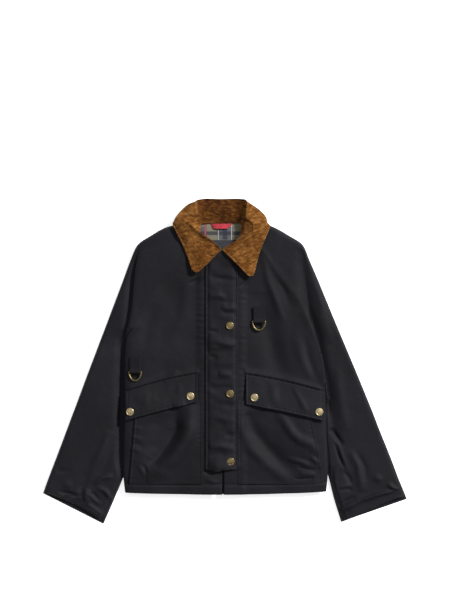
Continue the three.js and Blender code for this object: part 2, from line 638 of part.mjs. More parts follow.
// ---- the jacket ----------------------------------------------------------------------------------
addBack();
["right", "left"].forEach((side) => {
  addFront(side);
  addSleeve(side);
  addPocket(side);
  addFlap(side);
});
addCollar();
addZip();
addFly();
SNAPS.forEach(addSnap);
TABS.forEach(addTab);
addNeckInside();

export default jacket;
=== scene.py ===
import json
import math

import bmesh
import bpy
import numpy as np
from mathutils import Matrix, Vector


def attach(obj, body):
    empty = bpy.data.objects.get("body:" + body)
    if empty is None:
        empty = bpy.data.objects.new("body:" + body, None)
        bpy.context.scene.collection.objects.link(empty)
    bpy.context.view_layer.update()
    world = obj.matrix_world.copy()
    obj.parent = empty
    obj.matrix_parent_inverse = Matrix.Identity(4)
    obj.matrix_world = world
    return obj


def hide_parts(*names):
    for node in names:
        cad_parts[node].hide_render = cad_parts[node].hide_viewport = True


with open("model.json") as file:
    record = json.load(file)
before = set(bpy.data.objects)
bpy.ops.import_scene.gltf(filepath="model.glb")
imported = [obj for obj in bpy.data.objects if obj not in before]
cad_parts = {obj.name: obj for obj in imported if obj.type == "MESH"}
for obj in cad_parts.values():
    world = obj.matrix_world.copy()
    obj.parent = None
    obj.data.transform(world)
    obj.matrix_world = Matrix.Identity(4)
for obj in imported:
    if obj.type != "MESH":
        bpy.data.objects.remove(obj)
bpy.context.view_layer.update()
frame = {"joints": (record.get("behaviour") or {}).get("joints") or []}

# A cropped raglan jacket in smooth dark cotton with a corduroy collar, lying on its back.
# Tables are in millimetres, +X is the wearer's left and +Y points from the hem to the collar.
MM = 0.001

# ---- camera, floor and light -----------------------------------------------------------------
CAMERA_HEIGHT = 3.0
VIEW_HEIGHT = 1.32
VIEW_CENTRE_Y = 0.1353
SENSOR = 36.0
FLOOR_GLOW = 0.62        # a lit table, which stays white in the shade


def add_camera():
    data = bpy.data.cameras.new("camera")
    data.sensor_fit = "VERTICAL"
    data.sensor_height = SENSOR
    data.lens = SENSOR * CAMERA_HEIGHT / VIEW_HEIGHT
    camera = bpy.data.objects.new("camera", data)
    camera.location = (0, VIEW_CENTRE_Y, CAMERA_HEIGHT)
    bpy.context.collection.objects.link(camera)
    bpy.context.scene.camera = camera


def add_sun(name, place, strength, softness):
    """Light from the direction of a place, softened as by a wide window."""
    data = bpy.data.lights.new(name, "SUN")
    data.energy = strength
    data.angle = math.radians(softness)
    light = bpy.data.objects.new(name, data)
    light.location = place
    light.rotation_euler = (-Vector(place)).to_track_quat("-Z", "Y").to_euler()
    bpy.context.collection.objects.link(light)


def add_studio():
    world = bpy.data.worlds.new("studio")
    world.use_nodes = True
    world.node_tree.nodes["Background"].inputs["Color"].default_value = (0.96, 0.98, 1, 1)
    world.node_tree.nodes["Background"].inputs["Strength"].default_value = 0.3
    bpy.context.scene.world = world
    bpy.context.scene.view_settings.view_transform = "Standard"
    add_sun("key", (2.05, 1.5, 1.95), 4.9, 9)
    add_sun("fill", (-1.0, 0.5, 2.5), 0.4, 60)
    bpy.ops.mesh.primitive_plane_add(size=8, location=(0, 0, 0))
    floor = bpy.context.object
    floor.name = "floor"
    finish = bpy.data.materials.new("white_floor")
    finish.use_nodes = True
    shader = finish.node_tree.nodes["Principled BSDF"]
    shader.inputs["Base Color"].default_value = (0.93, 0.93, 0.93, 1)
    shader.inputs["Roughness"].default_value = 0.9
    shader.inputs["Specular IOR Level"].default_value = 0.1
    shader.inputs["Emission Color"].default_value = (1, 1, 1, 1)
    shader.inputs["Emission Strength"].default_value = FLOOR_GLOW
    floor.data.materials.append(finish)


# ---- sizes, as cut and sewn ------------------------------------------------------------------
WALL = 2.0              # shell cloth with its lining
SEAM = 0.3              # gap between pieces that are sewn together
PATCH_WALL = 1.6
PATCH_LIFT = 0.9
THIN_WALL = 1.2
LABEL_WALL = 0.8
CORD_WALL = 3.0
CENTRE = -7.7
HEM_Y = -290.0
NECK_Y = 305.5
FRONT_NECK_Y = 262.0
RAGLAN_TOP = 264.0
ZIP_TOP = 236.0
ZIP_EDGE = {"right": -6.5, "left": -2.3}
RIM_GAP = 0.45
RIM = WALL + SEAM
UNDER_BODY = 8.0
UNDER_EASE = 0.9        # ease of the back over a tucked sleeve
SIDE_ROLL = 34.0
SLEEVE_ROLL = 13.0
TUCK_ROLL = 5.0
SIDE_RISE = 6.0
ROLL_POWER = 2.8        # 2 rolls an edge to a quarter ellipse, more makes it flatter on top
HEM_BAND = 21.5         # turned-up cloth at the hem
BACK_SEAM_SHIFT = 1.2   # the back's raglan seams lie this far inside the fronts'
GRID = 2.6              # distance between the points of a sheet
SIGN = {"right": -1, "left": 1}

FRONT_HEIGHT = [(-292, 13.5), (-100, 15.5), (100, 16.5), (310, 17)]
RISE = [(-292, 0.35), (-220, 1), (10, 1), (120, 0)]

# The side seam up to the underarm, then the raglan seam.
EDGE = {
    "right": [
        (-290, 219), (-240, 223.4), (-87, 221.1), (21, 220), (38, 218.5), (58, 213.5), (77, 199.2),
        (105, 189.7), (129, 177.7), (149, 166.7), (167, 154.7), (188.5, 137), (214, 111.6),
        (239, 87.6), (264, 65.6),
    ],
    "left": [
        (-290, 222), (-240, 225.5), (-128, 221.5), (-94, 220.8), (-70, 219.8), (-42, 217.2),
        (-7, 213.6), (21, 206.8), (38, 202.5), (58, 194.9), (77, 187.7), (105, 175.6),
        (129, 164.9), (149, 150.6), (167, 137.8), (188.5, 119.9), (214, 101.4), (239, 84.9),
        (264, 56.6),
    ],
}
UNDERARM = {"right": (77, 38), "left": (-42, -94)}

# Stations of a sleeve from neck to cuff: inner seam, pleat and outer edge (x and y each), how
# far the inner part lies on top of the body, and the height beyond the pleat.
SLEEVE = {
    "right": [
        (66, 264, 68, 276, 74, 306, 1, 16.5),
        (88, 239, 93, 262, 100, 302, 1, 16.5),
        (112, 214, 122, 254, 132, 293.7, 1, 16.5),
        (137.3, 188.5, 153, 246, 163, 276.5, 1, 16),
        (155, 167, 186, 240, 191.5, 256.5, 1, 13.5),
        (167, 149, 195, 210, 208, 221, 1, 10.5),
        (178, 129, 199.5, 170, 222.5, 181.5, 1, 9),
        (190, 105, 203.5, 128, 239, 137.5, 1, 9),
        (199.5, 77, 211, 84, 258, 87, 1, 9),
        (215.2, 58, 217.5, 59.5, 266.5, 64.5, 0.6, 9),
        (213, 38, 228, 39, 276, 40, 0, 9),
        (211, 8, 226, 8, 288, 8, 0, 11),
        (199, -30, 228, -30, 302.5, -30, 0, 11),
        (191, -80, 229, -80, 321, -80, 0, 11),
        (191, -130, 230, -130, 339.5, -129, 0, 11),
        (197, -180, 232, -180, 357, -176, 0, 11),
        (208, -220, 236, -218, 371, -213, 0, 11.5),
        (223.7, -251, 232, -249.5, 382.5, -243, 0, 12),
        (245, -302, 252.5, -299, 391.5, -267, 0, 12),
        (268.6, -356, 276, -352.2, 399.3, -289.3, 0, 12),
    ],
    "left": [
        (57, 264, 58, 278, 61, 307.5, 1, 16.5),
        (85.3, 239, 85, 268, 85, 303.2, 1, 16.5),
        (101.8, 214, 106, 262, 111, 293.2, 1, 16.5),
        (120.3, 188.5, 133, 248, 139.5, 277, 1, 16),
        (138.2, 167, 166, 238, 171, 255.5, 1, 15.5),
        (151, 149, 174, 205, 186, 221.5, 1, 14.5),
        (165.3, 129, 179.6, 168, 203, 182, 1, 13.5),
        (176, 105, 185, 130, 220, 140.5, 1, 12.5),
        (188.1, 77, 192, 90, 237, 99, 1, 12),
        (195.3, 58, 198, 62, 254, 58.5, 1, 11.5),
        (202.9, 38, 205.7, 39, 266, 30, 1, 11),
        (207.2, 21, 210, 21, 275.5, 7.5, 1, 11),
        (214, -7, 216.8, -7, 287, -20, 1, 11),
        (217.6, -42, 220.4, -42, 303.5, -60, 1, 11),
        (220.8, -70, 224.4, -70, 317, -93, 0.6, 11),
        (221.4, -94, 229, -95, 327, -118, 0, 10.5),
        (213, -124, 230, -128, 340, -152, 0, 11),
        (208, -165, 231, -169, 355, -189, 0, 11),
        (214, -212, 236, -214, 369.5, -226, 0, 11.5),
        (228.8, -252, 237, -252, 381, -257, 0, 12),
        (241, -300, 249, -299, 391, -281, 0, 12),
        (257, -351.6, 264.6, -349, 399.1, -301.8, 0, 12),
    ],
}


# ---- numbers along a table -------------------------------------------------------------------
def mix(start, end, share):
    return start + (end - start) * share


def smooth(value, start, end):
    share = np.clip((value - start) / (end - start), 0, 1)
    return share * share * (3 - 2 * share)


def quarter(share):
    """Height of a rolled edge, 0 at its rim and 1 at its flat top."""
    return (1 - (1 - np.clip(share, 0, 1)) ** ROLL_POWER) ** (1 / ROLL_POWER)


def curve_through(points):
    """A smooth line through a table's points that never swings past them."""
    xs, ys = (np.array(column, float) for column in zip(*points))
    gaps = np.diff(xs)
    slopes = np.diff(ys) / gaps
    tangents = np.zeros_like(ys)
    tangents[[0, -1]] = slopes[[0, -1]]
    product = slopes[:-1] * slopes[1:]
    steady = product > 0
    total = np.where(steady, slopes[:-1] + slopes[1:], 1)
    tangents[1:-1] = np.where(steady, 2 * product / total, 0)

    def value(x):
        x = np.clip(x, xs[0], xs[-1])
        i = np.clip(np.searchsorted(xs, x) - 1, 0, len(gaps) - 1)
        t = (x - xs[i]) / gaps[i]
        start = ys[i] * (1 + 2 * t) * (1 - t) ** 2 + tangents[i] * gaps[i] * t * (1 - t) ** 2
        end = ys[i + 1] * t * t * (3 - 2 * t) + tangents[i + 1] * gaps[i] * t * t * (t - 1)
        return start + end

    return value


def nearest_on_line(x, y, line):
    """Distance to a drawn line, and how far along it the nearest place is (0 to 1)."""
    distance = np.full(np.broadcast(x, y).shape, np.inf)
    reached = np.zeros(distance.shape)
    sizes = [math.dist(a, b) for a, b in zip(line, line[1:])]
    before = 0
    for (ax, ay), (bx, by), size in zip(line, line[1:], sizes):
        dx, dy = (bx - ax) / size, (by - ay) / size
        t = np.clip((x - ax) * dx + (y - ay) * dy, 0, size)
        here = np.hypot(x - ax - t * dx, y - ay - t * dy)
        closer = here < distance
        distance = np.where(closer, here, distance)
        reached = np.where(closer, (before + t) / sum(sizes), reached)
        before += size
    return distance, reached


def creases(x, y, table):
    """Soft ridges, or troughs where the height is below 0, that fade at their ends."""
    height = np.zeros(np.broadcast(x, y).shape)
    for rise, width, *line in table:
        distance, reached = nearest_on_line(x, y, line)
        fade = np.sin(np.pi * reached) ** 0.6
        height += rise * fade * np.exp(-(distance / width) ** 2)
    return height


def waves(x, y, length, height, seed):
    """Gentle unevenness of laid cloth, the sum of a few waves."""
    rng = np.random.default_rng(seed)
    total = np.zeros(np.broadcast(x, y).shape)
    for _ in range(7):
        angle, phase, stretch = rng.uniform((0, 0, 0.6), (np.pi, 2 * np.pi, 1.7))
        run = (x * np.cos(angle) + y * np.sin(angle)) * 2 * np.pi / (length * stretch)
        total += np.sin(run + phase)
    return height * total / 2.6


def lumps(x, y, wide, long, height, seed):
    """Irregular swellings of about the given width along X and length along Y."""
    table = np.random.default_rng(seed).uniform(-1, 1, (97, 97))
    x, y = np.broadcast_arrays(x, y)
    u, v = (x + 600) / wide, (y + 600) / long
    i, j = np.floor(u).astype(int), np.floor(v).astype(int)
    over, up = smooth(u - i, 0, 1), smooth(v - j, 0, 1)
    i, j = i % 96, j % 96
    near = mix(table[i, j], table[i + 1, j], over)
    return height * mix(near, mix(table[i, j + 1], table[i + 1, j + 1], over), up)


def pucker(distance, run, pitch, height, reach, seed):
    """Small ripples that stand square to a seam and die away from it."""
    rng = np.random.default_rng(seed)
    total = 0
    for _ in range(3):
        phase, stretch = rng.uniform((0, 0.7), (2 * np.pi, 1.45))
        total = total + np.sin(run * 2 * np.pi / (pitch * stretch) + phase)
    return height * total / 1.8 * np.exp(-(distance / reach) ** 2)


# ---- the surfaces that everything lies on ----------------------------------------------------
front_height = curve_through(FRONT_HEIGHT)
rise_share = curve_through(RISE)
edge_of = {side: curve_through(EDGE[side]) for side in EDGE}
tucked_edge = {
    side: curve_through(sorted((row[1], row[0]) for row in SLEEVE[side] if row[6] == 0))
    for side in SLEEVE
}


def back_top(side, x, y):
    top, bottom = UNDERARM[side]
    inner = tucked_edge[side](y)
    across = smooth(abs(x), inner - SIDE_ROLL, inner - TUCK_ROLL)
    down = smooth(top + 10 - y, 0, top - bottom)
    return WALL + (UNDER_BODY + UNDER_EASE) * across * down


def front_plain(x, y):
    return front_height(y) + SIDE_RISE * smooth(abs(x), 100, 190) * rise_share(y)


def front_smooth(side, x, y):
    """Height of a front with its side roll, before any crease."""
    edge = edge_of[side](y)
    top, bottom = UNDERARM[side]
    on_top = smooth(y, bottom, top)
    rim = mix(back_top(side, SIGN[side] * edge, y) + RIM_GAP, front_plain(edge, y), on_top)
    return rim + (front_plain(x, y) - rim) * quarter((edge - abs(x)) / SIDE_ROLL)


# ---- cloth walls -----------------------------------------------------------------------------
def grid_normals(grid):
    down = np.gradient(grid, axis=0)
    over = np.gradient(grid, axis=1)
    normals = np.cross(down, over)
    return normals / np.maximum(np.linalg.norm(normals, axis=2, keepdims=True), 1e-9)


def run_along(points):
    """Length along a row of points, from its first point to each."""
    return np.concatenate([[0], np.cumsum(np.linalg.norm(np.diff(points, axis=0), axis=1))])


def grid_area(grid):
    across = np.cross(grid[1:, 1:] - grid[:-1, :-1], grid[1:, :-1] - grid[:-1, 1:])
    return np.linalg.norm(across, axis=2).sum() / 2


def border_of(rows, columns):
    """Indices round the edge of a grid, in order."""
    top = [(0, j) for j in range(columns)]
    right = [(i, columns - 1) for i in range(1, rows)]
    bottom = [(rows - 1, j) for j in range(columns - 2, -1, -1)]
    left = [(i, 0) for i in range(rows - 2, 0, -1)]
    return np.array(top + right + bottom + left)


def mesh_object(name, points, faces, uvs=None):
    mesh = bpy.data.meshes.new(name)
    mesh.from_pydata([tuple(point) for point in np.asarray(points) * MM], [], faces)
    if uvs is not None:
        layer = mesh.uv_layers.new(name="UVMap")
        corners = np.zeros(len(mesh.loops), dtype=np.int32)
        mesh.loops.foreach_get("vertex_index", corners)
        layer.data.foreach_set("uv", (np.asarray(uvs)[corners] * MM).ravel())
    mesh.shade_smooth()
    mesh.update()
    piece = bpy.data.objects.new(name, mesh)
    bpy.context.collection.objects.link(piece)
    return piece


def cloth(name, grid, wall, floor=None, bulge=0.3, turn=True):
    """A cloth wall under a grid of points on its outer face, with rounded edges."""
    if turn and grid_normals(grid)[..., 2].mean() < 0:
        grid = grid[:, ::-1]
    rows, columns = grid.shape[:2]
    normals = grid_normals(grid)
    inner = grid - normals * wall
    if floor is not None:
        inner[..., 2] = np.maximum(inner[..., 2], floor(inner[..., 0], inner[..., 1]))
    ring = border_of(rows, columns)
    i, j = ring.T
    inside = grid[np.clip(i, 1, rows - 2), np.clip(j, 1, columns - 2)]
    away = grid[i, j] - inside
    away /= np.maximum(np.linalg.norm(away, axis=1, keepdims=True), 1e-9)
    middle = (grid[i, j] + inner[i, j]) / 2 + away * bulge * wall
    count = rows * columns
    outer_at = np.arange(count).reshape(rows, columns)
    a, b, c, d = (part.ravel() for part in (
        outer_at[:-1, :-1], outer_at[1:, :-1], outer_at[1:, 1:], outer_at[:-1, 1:]))
    faces = np.stack([a, b, c, d], axis=1).tolist()
    faces += (np.stack([d, c, b, a], axis=1) + count).tolist()
    edge = i * columns + j
    after = np.roll(edge, -1)
    middle_at = 2 * count + np.arange(len(edge))
    middle_after = np.roll(middle_at, -1)
    faces += np.stack([edge, after, middle_after, middle_at], axis=1).tolist()
    faces += np.stack([middle_at, middle_after, after + count, edge + count], axis=1).tolist()
    u = np.zeros((rows, columns))
    v = np.zeros((rows, columns))
    u[:, 1:] = np.cumsum(np.linalg.norm(np.diff(grid, axis=1), axis=2), axis=1)
    v[1:] = np.cumsum(np.linalg.norm(np.diff(grid, axis=0), axis=2), axis=0)
    uv = np.stack([u.ravel(), v.ravel()], axis=1)
    points = np.concatenate([grid.reshape(-1, 3), inner.reshape(-1, 3), middle])
    return mesh_object(name, points, faces, np.concatenate([uv, uv, uv[edge]]))


def points_grid(x, y, z):
    return np.stack(np.broadcast_arrays(x, y, z), axis=2)


# ---- finishes --------------------------------------------------------------------------------
class Finish:
    """A material whose nodes are added one after another."""

    def __init__(self, name, roughness, specular=0.3, metallic=0.0):
        self.material = bpy.data.materials.new(name)
        self.material.use_nodes = True
        self.tree = self.material.node_tree
        self.shader = self.tree.nodes["Principled BSDF"]
        self.shader.inputs["Roughness"].default_value = roughness
        self.shader.inputs["Specular IOR Level"].default_value = specular
        self.shader.inputs["Metallic"].default_value = metallic
        self.place = self.tree.nodes.new("ShaderNodeTexCoord")

    def node(self, kind, links=(), **values):
        node = self.tree.nodes.new("ShaderNode" + kind)
        for name, value in values.items():
            setattr(node, name, value)
        for socket, source in dict(links).items():
            if isinstance(source, bpy.types.NodeSocket):
                self.tree.links.new(source, node.inputs[socket])
            else:
                node.inputs[socket].default_value = source
        return node

    def noise(self, scale, detail=3.0, source="Object", stretch=(1, 1, 1)):
        spread = self.node("Mapping", {"Vector": self.place.outputs[source], "Scale": stretch})
        links = {"Vector": spread.outputs["Vector"], "Scale": scale, "Detail": detail}
        return self.node("TexNoise", links).outputs["Fac"]

    def lines(self, pitch, turn, profile="SIN", source="UV"):
        """Bands at a pitch in metres, turned by an angle in degrees."""
        turned = self.node("Mapping", {"Vector": self.place.outputs[source],
                                       "Rotation": (0, 0, math.radians(turn))})
        links = {"Vector": turned.outputs["Vector"], "Scale": math.pi / 10 / pitch}
        return self.node("TexWave", links, wave_profile=profile, bands_direction="Y").outputs["Fac"]

    def sum(self, a, b, operation="ADD"):
        return self.node("Math", {0: a, 1: b}, operation=operation).outputs[0]

    def ramp(self, source, stops):
        node = self.node("ValToRGB", {"Fac": source})
        elements = node.color_ramp.elements
        while len(elements) < len(stops):
            elements.new(0.5)
        for element, (position, colour) in zip(elements, stops):
            element.position = position
            element.color = (*colour, 1)
        return node.outputs["Color"]

    def fade(self, source, start, end):
        """From 0 at start to 1 at end."""
        links = {"Value": source, "From Min": start, "From Max": end}
        return self.node("MapRange", links, interpolation_type="SMOOTHSTEP").outputs["Result"]

    def parts(self, source):
        split = self.node("SeparateXYZ", {"Vector": self.place.outputs[source]})
        return [split.outputs[axis] for axis in "XYZ"]

    def blend(self, share, first, second):
        links = {0: share, 6: first, 7: second}
        return self.node("Mix", links, data_type="RGBA").outputs[2]

    def colour(self, source):
        if isinstance(source, tuple):
            self.shader.inputs["Base Color"].default_value = (*source, 1)
        else:
            self.tree.links.new(source, self.shader.inputs["Base Color"])

    def bumps(self, *layers):
        """Layers of (height source, depth in metres), one over another."""
        normal = None
        for source, depth in layers:
            links = {"Height": source, "Distance": depth, "Strength": 1.0}
            if normal:
                links["Normal"] = normal
            normal = self.node("Bump", links).outputs["Normal"]
        self.tree.links.new(normal, self.shader.inputs["Normal"])

    def weave(self, pitch):
        self.bumps((self.lines(pitch, 0), 0.00008), (self.lines(pitch, 90), 0.00008))


def dark_cotton():
    """Smooth dark twill: a fine diagonal weave, a soft dry sheen and slightly uneven shade."""
    finish = Finish("dark_cotton", 0.72, specular=0.2)
    finish.shader.inputs["Sheen Weight"].default_value = 0.03
    finish.shader.inputs["Sheen Roughness"].default_value = 0.4
    broad = finish.noise(9, 4)
    fine = finish.noise(420, 2)
    shade = finish.sum(finish.sum(broad, 0.75, "MULTIPLY"), finish.sum(fine, 0.25, "MULTIPLY"))
    finish.colour(finish.ramp(shade, [(0.3, (0.0026, 0.0025, 0.0040)), (0.7, (0.0073, 0.0069, 0.0103))]))
    finish.bumps((finish.noise(60, 3), 0.0009), (finish.lines(0.0011, 63), 0.00005),
                 (finish.noise(900, 2), 0.00006))
    return finish.material


def tan_corduroy():
    """Fine wales, crushed and darker in random patches; painted shade darkens the hollows between the wales
    and the inside of the back neck.
    """
    finish = Finish("tan_corduroy", 0.95, specular=0.12)
    finish.shader.inputs["Sheen Weight"].default_value = 0.35
    finish.shader.inputs["Sheen Roughness"].default_value = 0.35
    finish.shader.inputs["Sheen Tint"].default_value = (1, 0.62, 0.3, 1)
    wales = finish.lines(0.0023, 0)
    crushed = finish.noise(95, 5, stretch=(1, 1.6, 1))
    broad = finish.noise(22, 3)
    streaks = finish.noise(330, 4, source="UV", stretch=(0.27, 1, 1))
    nap_and_shade = finish.sum(finish.sum(crushed, 0.4, "MULTIPLY"), finish.sum(broad, 0.25, "MULTIPLY"))
    nap_and_shade = finish.sum(nap_and_shade, finish.sum(streaks, 0.35, "MULTIPLY"))
    # Painted shade: cloth inside the back neck that faces up is painted darker.
    x, y, _ = finish.parts("Object")
    aside = finish.sum(finish.sum(x, -CENTRE * MM), 0, "ABSOLUTE")
    painted_neck_shade = finish.sum(finish.fade(aside, 0.055, 0.049), finish.fade(y, 0.300, 0.308), "MULTIPLY")
    painted_neck_shade = finish.sum(painted_neck_shade, finish.fade(finish.parts("Normal")[2], 0.0, 0.3), "MULTIPLY")
    nap_and_shade = finish.sum(nap_and_shade, finish.sum(painted_neck_shade, -0.1, "MULTIPLY"))
    pile_and_shade = finish.ramp(nap_and_shade, [(0.36, (0.045, 0.013, 0.002)), (0.48, (0.145, 0.053, 0.009)),
                             (0.62, (0.33, 0.145, 0.036))])
    # Painted shade: the hollows between the wales are painted near black.
    groove = (0.03, 0.009, 0.0015, 1)
    share = finish.ramp(wales, [(0.0, (0.75, 0.75, 0.75)), (0.45, (0.0, 0.0, 0.0))])
    finish.colour(finish.blend(share, pile_and_shade, groove))
    finish.bumps((crushed, 0.0006), (streaks, 0.0006), (wales, 0.0004), (finish.noise(700, 2), 0.0003))
    return finish.material


def brushed_brass(name, dark, light):
    """Brass, browner in random patches, with fine rubbing."""
    finish = Finish(name, 0.45, metallic=1.0)
    finish.colour(finish.ramp(finish.noise(160, 3), [(0.35, dark), (0.65, light)]))
    finish.bumps((finish.noise(1500, 2), 0.00001))
    return finish.material


def black_webbing():
    """Close ribs across the webbing."""
    finish = Finish("black_webbing", 0.8, specular=0.12)
    ribs = finish.lines(0.0016, 0)
    finish.colour(finish.ramp(ribs, [(0.2, (0.0055, 0.0053, 0.0068)), (0.8, (0.013, 0.0126, 0.0165))]))
    finish.bumps((ribs, 0.0002), (finish.lines(0.0012, 90), 0.0001))
    return finish.material


def simple_cloth(name, colour, roughness=0.7, weave=0.0008):
    """A plain weave in one colour."""
    finish = Finish(name, roughness, specular=0.25)
    shade = finish.noise(300, 3)
    low = tuple(0.75 * part for part in colour)
    high = tuple(min(1, 1.2 * part) for part in colour)
    finish.colour(finish.ramp(shade, [(0.3, low), (0.7, high)]))
    finish.weave(weave)
    return finish.material


def checked_cloth():
    """A plain check: broad olive and navy bands with thin cream and red lines on slate."""
    finish = Finish("checked_lining", 0.7, specular=0.25)
    colour = (0.085, 0.09, 0.1, 1)
    for turn, pitch in ((90, 0.058), (0, 0.047)):
        for width, shade, share in ((0.62, (0.2, 0.18, 0.115, 1), 0.75), (0.1, (0.02, 0.022, 0.035, 1), 0.8)):
            band = finish.lines(pitch, turn, source="Object")
            ends = (width, width + 0.06) if width > 0.5 else (width, width - 0.05)
            colour = finish.blend(finish.sum(finish.fade(band, *ends), share, "MULTIPLY"), colour, shade)
    for turn, pitch, shade in ((90, 0.029, (0.45, 0.43, 0.38, 1)), (0, 0.094, (0.45, 0.43, 0.38, 1)),
                               (90, 0.087, (0.25, 0.02, 0.05, 1))):
        thread = finish.fade(finish.lines(pitch, turn, source="Object"), 0.986, 0.994)
        colour = finish.blend(finish.sum(thread, 0.7, "MULTIPLY"), colour, shade)
    finish.colour(colour)
    finish.weave(0.0008)
    return finish.material


# ---- creases: height, width, then the points of the line -------------------------------------
BODY_CREASES = [
    (14, 16, (-78, -92), (-79, -150), (-90, -180), (-112, -210), (-140, -236), (-174, -248)),
    (-4.5, 24, (-132, -112), (-134, -150), (-150, -186), (-164, -208)),
    (-7, 12, (-106, -98), (-108, -148), (-121, -176), (-143, -205), (-170, -228)),
    (2.7, 5, (-190, -225), (-176, -243), (-166, -262)),
    (-3, 4, (-176, -224), (-170, -258)),
    (1.6, 4, (-203, -165), (-182, -168)),
    (1.6, 4, (-204, -190), (-184, -193)),
    (1.6, 4, (-200, -146), (-180, -144)),
    (-1.4, 4, (-202, -178), (-180, -181)),
    (4.1, 11, (28, -92), (36, -140), (54, -187), (88, -221), (124, -250), (150, -270)),
    (-6.1, 15, (48, -110), (66, -155), (94, -189), (134, -228), (158, -250)),
    (6.1, 9, (113, -113), (128, -126), (146, -154), (162, -169), (186, -178), (204, -200)),
    (3.4, 4.5, (138, -212), (166, -218), (184, -226)),
    (-3, 4, (160, -231), (196, -236)),
    (3, 4, (162, -243), (198, -246)),
    (-2.6, 3.5, (150, -256), (194, -253)),
    (2.8, 4, (186, -206), (205, -222)),
    (3.4, 8, (84, 236), (94, 180), (113, 130), (130, 84)),
    (-2.4, 9, (106, 210), (130, 158), (146, 112)),
    (-6.4, 20, (82, 152), (96, 76), (108, 10), (134, -40)),
    (2, 10, (150, 70), (166, 8), (190, -44)),
    (-2.2, 7, (172, 60), (184, 4), (200, -40)),
    (2.4, 14, (-84, 190), (-88, 100), (-118, 40), (-160, 6)),
    (-1.9, 12, (-150, 128), (-172, 70), (-180, 30)),
    (2.2, 8, (-102, -20), (-120, -36), (-134, -44)),
    (-4, 6, (-50, -241), (-30, -242), (-8, -240)),
    (-4, 13, (-64, 182), (-60, 172)),
    (-4, 13, (40, 176), (46, 170)),
    (2, 5, (-40, -258), (-26, -262), (-14, -262)),
]
SLEEVE_CREASES = {
    "right": [
        (-5, 7, (-193, 246), (-201, 210), (-206, 170), (-210, 128), (-216, 84), (-224, 58)),
        (-6.2, 9, (-228, 70), (-230, 38), (-230, -30), (-231, -90), (-232, -160), (-233, -236)),
        (3.8, 8, (-253, -150), (-266, -185), (-283, -222), (-300, -252)),
        (-2.5, 9, (-238, -165), (-256, -210), (-276, -252)),
        (5.4, 4.5, (-352, -302), (-334, -305), (-314, -307)),
        (8.5, 6, (-303, -280), (-306, -298), (-304, -316)),
        (6, 4.5, (-304, -286), (-290, -303), (-274, -316)),
        (5.4, 4, (-308, -318), (-286, -331), (-266, -340)),
        (5.6, 4.5, (-288, -270), (-270, -254), (-246, -250)),
        (5.4, 4.5, (-280, -275), (-262, -284), (-246, -306)),
        (-5, 5, (-294, -286), (-284, -304), (-276, -314)),
        (-4.4, 5, (-298, -258), (-313, -274), (-320, -290)),
        (-5, 6, (-366, -290), (-340, -297), (-320, -312)),
        (2.5, 9, (-356, -270), (-334, -272)),
        (-1.9, 6, (-372, -240), (-336, -238)),
    ],
    "left": [
        (-7.6, 11, (164, 250), (169, 212), (175, 160), (179, 120), (189, 88), (201, 54), (208, 20),
         (214, -7), (223, -46), (229, -94), (237, -140), (248, -170)),
        (3.1, 12, (196, 200), (206, 150), (214, 100), (232, 40)),
        (2.5, 10, (246, -10), (250, -60), (258, -110), (268, -150)),
        (-6, 5, (232, -146), (246, -166), (258, -184)),
        (-4.4, 3.2, (241, -178), (250, -206), (262, -234)),
        (2.8, 3.2, (246, -176), (256, -206), (268, -236)),
        (-3.8, 4, (262, -240), (272, -256), (276, -268)),
        (4.5, 8, (274, -194), (292, -226), (297, -266), (304, -286)),
        (-3, 7, (286, -196), (306, -232), (308, -262)),
        (3.2, 4, (276, -270), (262, -274), (250, -278)),
        (-3, 3.5, (246, -283), (266, -278), (282, -282)),
        (3, 7, (326, -252), (344, -260)),
        (5, 5, (356, -266), (370, -278), (382, -284)),
        (6.5, 6, (288, -310), (318, -302), (346, -293), (374, -288)),
        (5.6, 5, (254, -324), (274, -318), (296, -309)),
        (-3.8, 4, (250, -318), (270, -306), (288, -298)),
        (-3, 4, (252, -338), (276, -330)),
    ],
}


# Flaps: X of the centre and side ends, then Y of the top and of the free edge at each.
FLAP = {
    "right": {"x": (60.5, 217), "top": (-24.6, -63.5), "end": (-86.9, -127.5)},
    "left": {"x": (46.4, 217), "top": (-26.4, -64.5), "end": (-92.2, -128)},
}
FLAP_BOW = 3.5
FLAP_RIDGE = 4.8
FLAP_WALL = 1.6
FLAP_SUNK = 2.8          # how far a flap's top edge is pressed in at its seam
FLAP_LIFT = 4.6          # how far a flap's free edge stands off its pocket
FACING_RISE = 3.0
WELT_RISE, WELT_REACH = {"right": 4, "left": 1.5}, {"right": 14, "left": 9}
WELT_BEHIND = {"right": 45, "left": 10}
FLY_TAIL = 8.0           # the loose bottom end of the fly stands off the fronts
HEM_TUBE, HEM_GROOVE = 3.4, 1.1
CUFF_DROP = {"right": 5.5, "left": -3.0}   # the cuffs' front edges hang towards the back layer


# ---- body ------------------------------------------------------------------------------------
def roll_shares(count):
    return 1 - np.cos(np.linspace(0, np.pi / 2, count + 1))


def front_inner(side, y):
    """Distance of a front's inner edge from X = 0: straight along the zip, then the neckline."""
    straight = SIGN[side] * ZIP_EDGE[side] + SEAM
    neck = SIGN[side] * CENTRE + mix(1, 34, smooth(y, ZIP_TOP, FRONT_NECK_Y))
    return np.where(y < ZIP_TOP, straight, np.maximum(straight, neck))


def flap_top(side, x):
    """Y of a flap's sewn edge."""
    size = FLAP[side]
    share = (abs(x) - size["x"][0]) / (size["x"][1] - size["x"][0])
    return mix(*size["top"], share) + FLAP_BOW * np.sin(np.pi * np.clip(share, 0, 1))


def over_flap(side, x, y):
    """The front stands proud just above the seam that a flap hangs from."""
    start, end = FLAP[side]["x"]
    above = y - flap_top(side, x)
    beside = smooth(abs(x), start - 6, start) * (1 - smooth(abs(x), end, end + 3))
    return FLAP_RIDGE * smooth(above, -0.5, 2) * np.exp(-(above / 9) ** 2) * beside


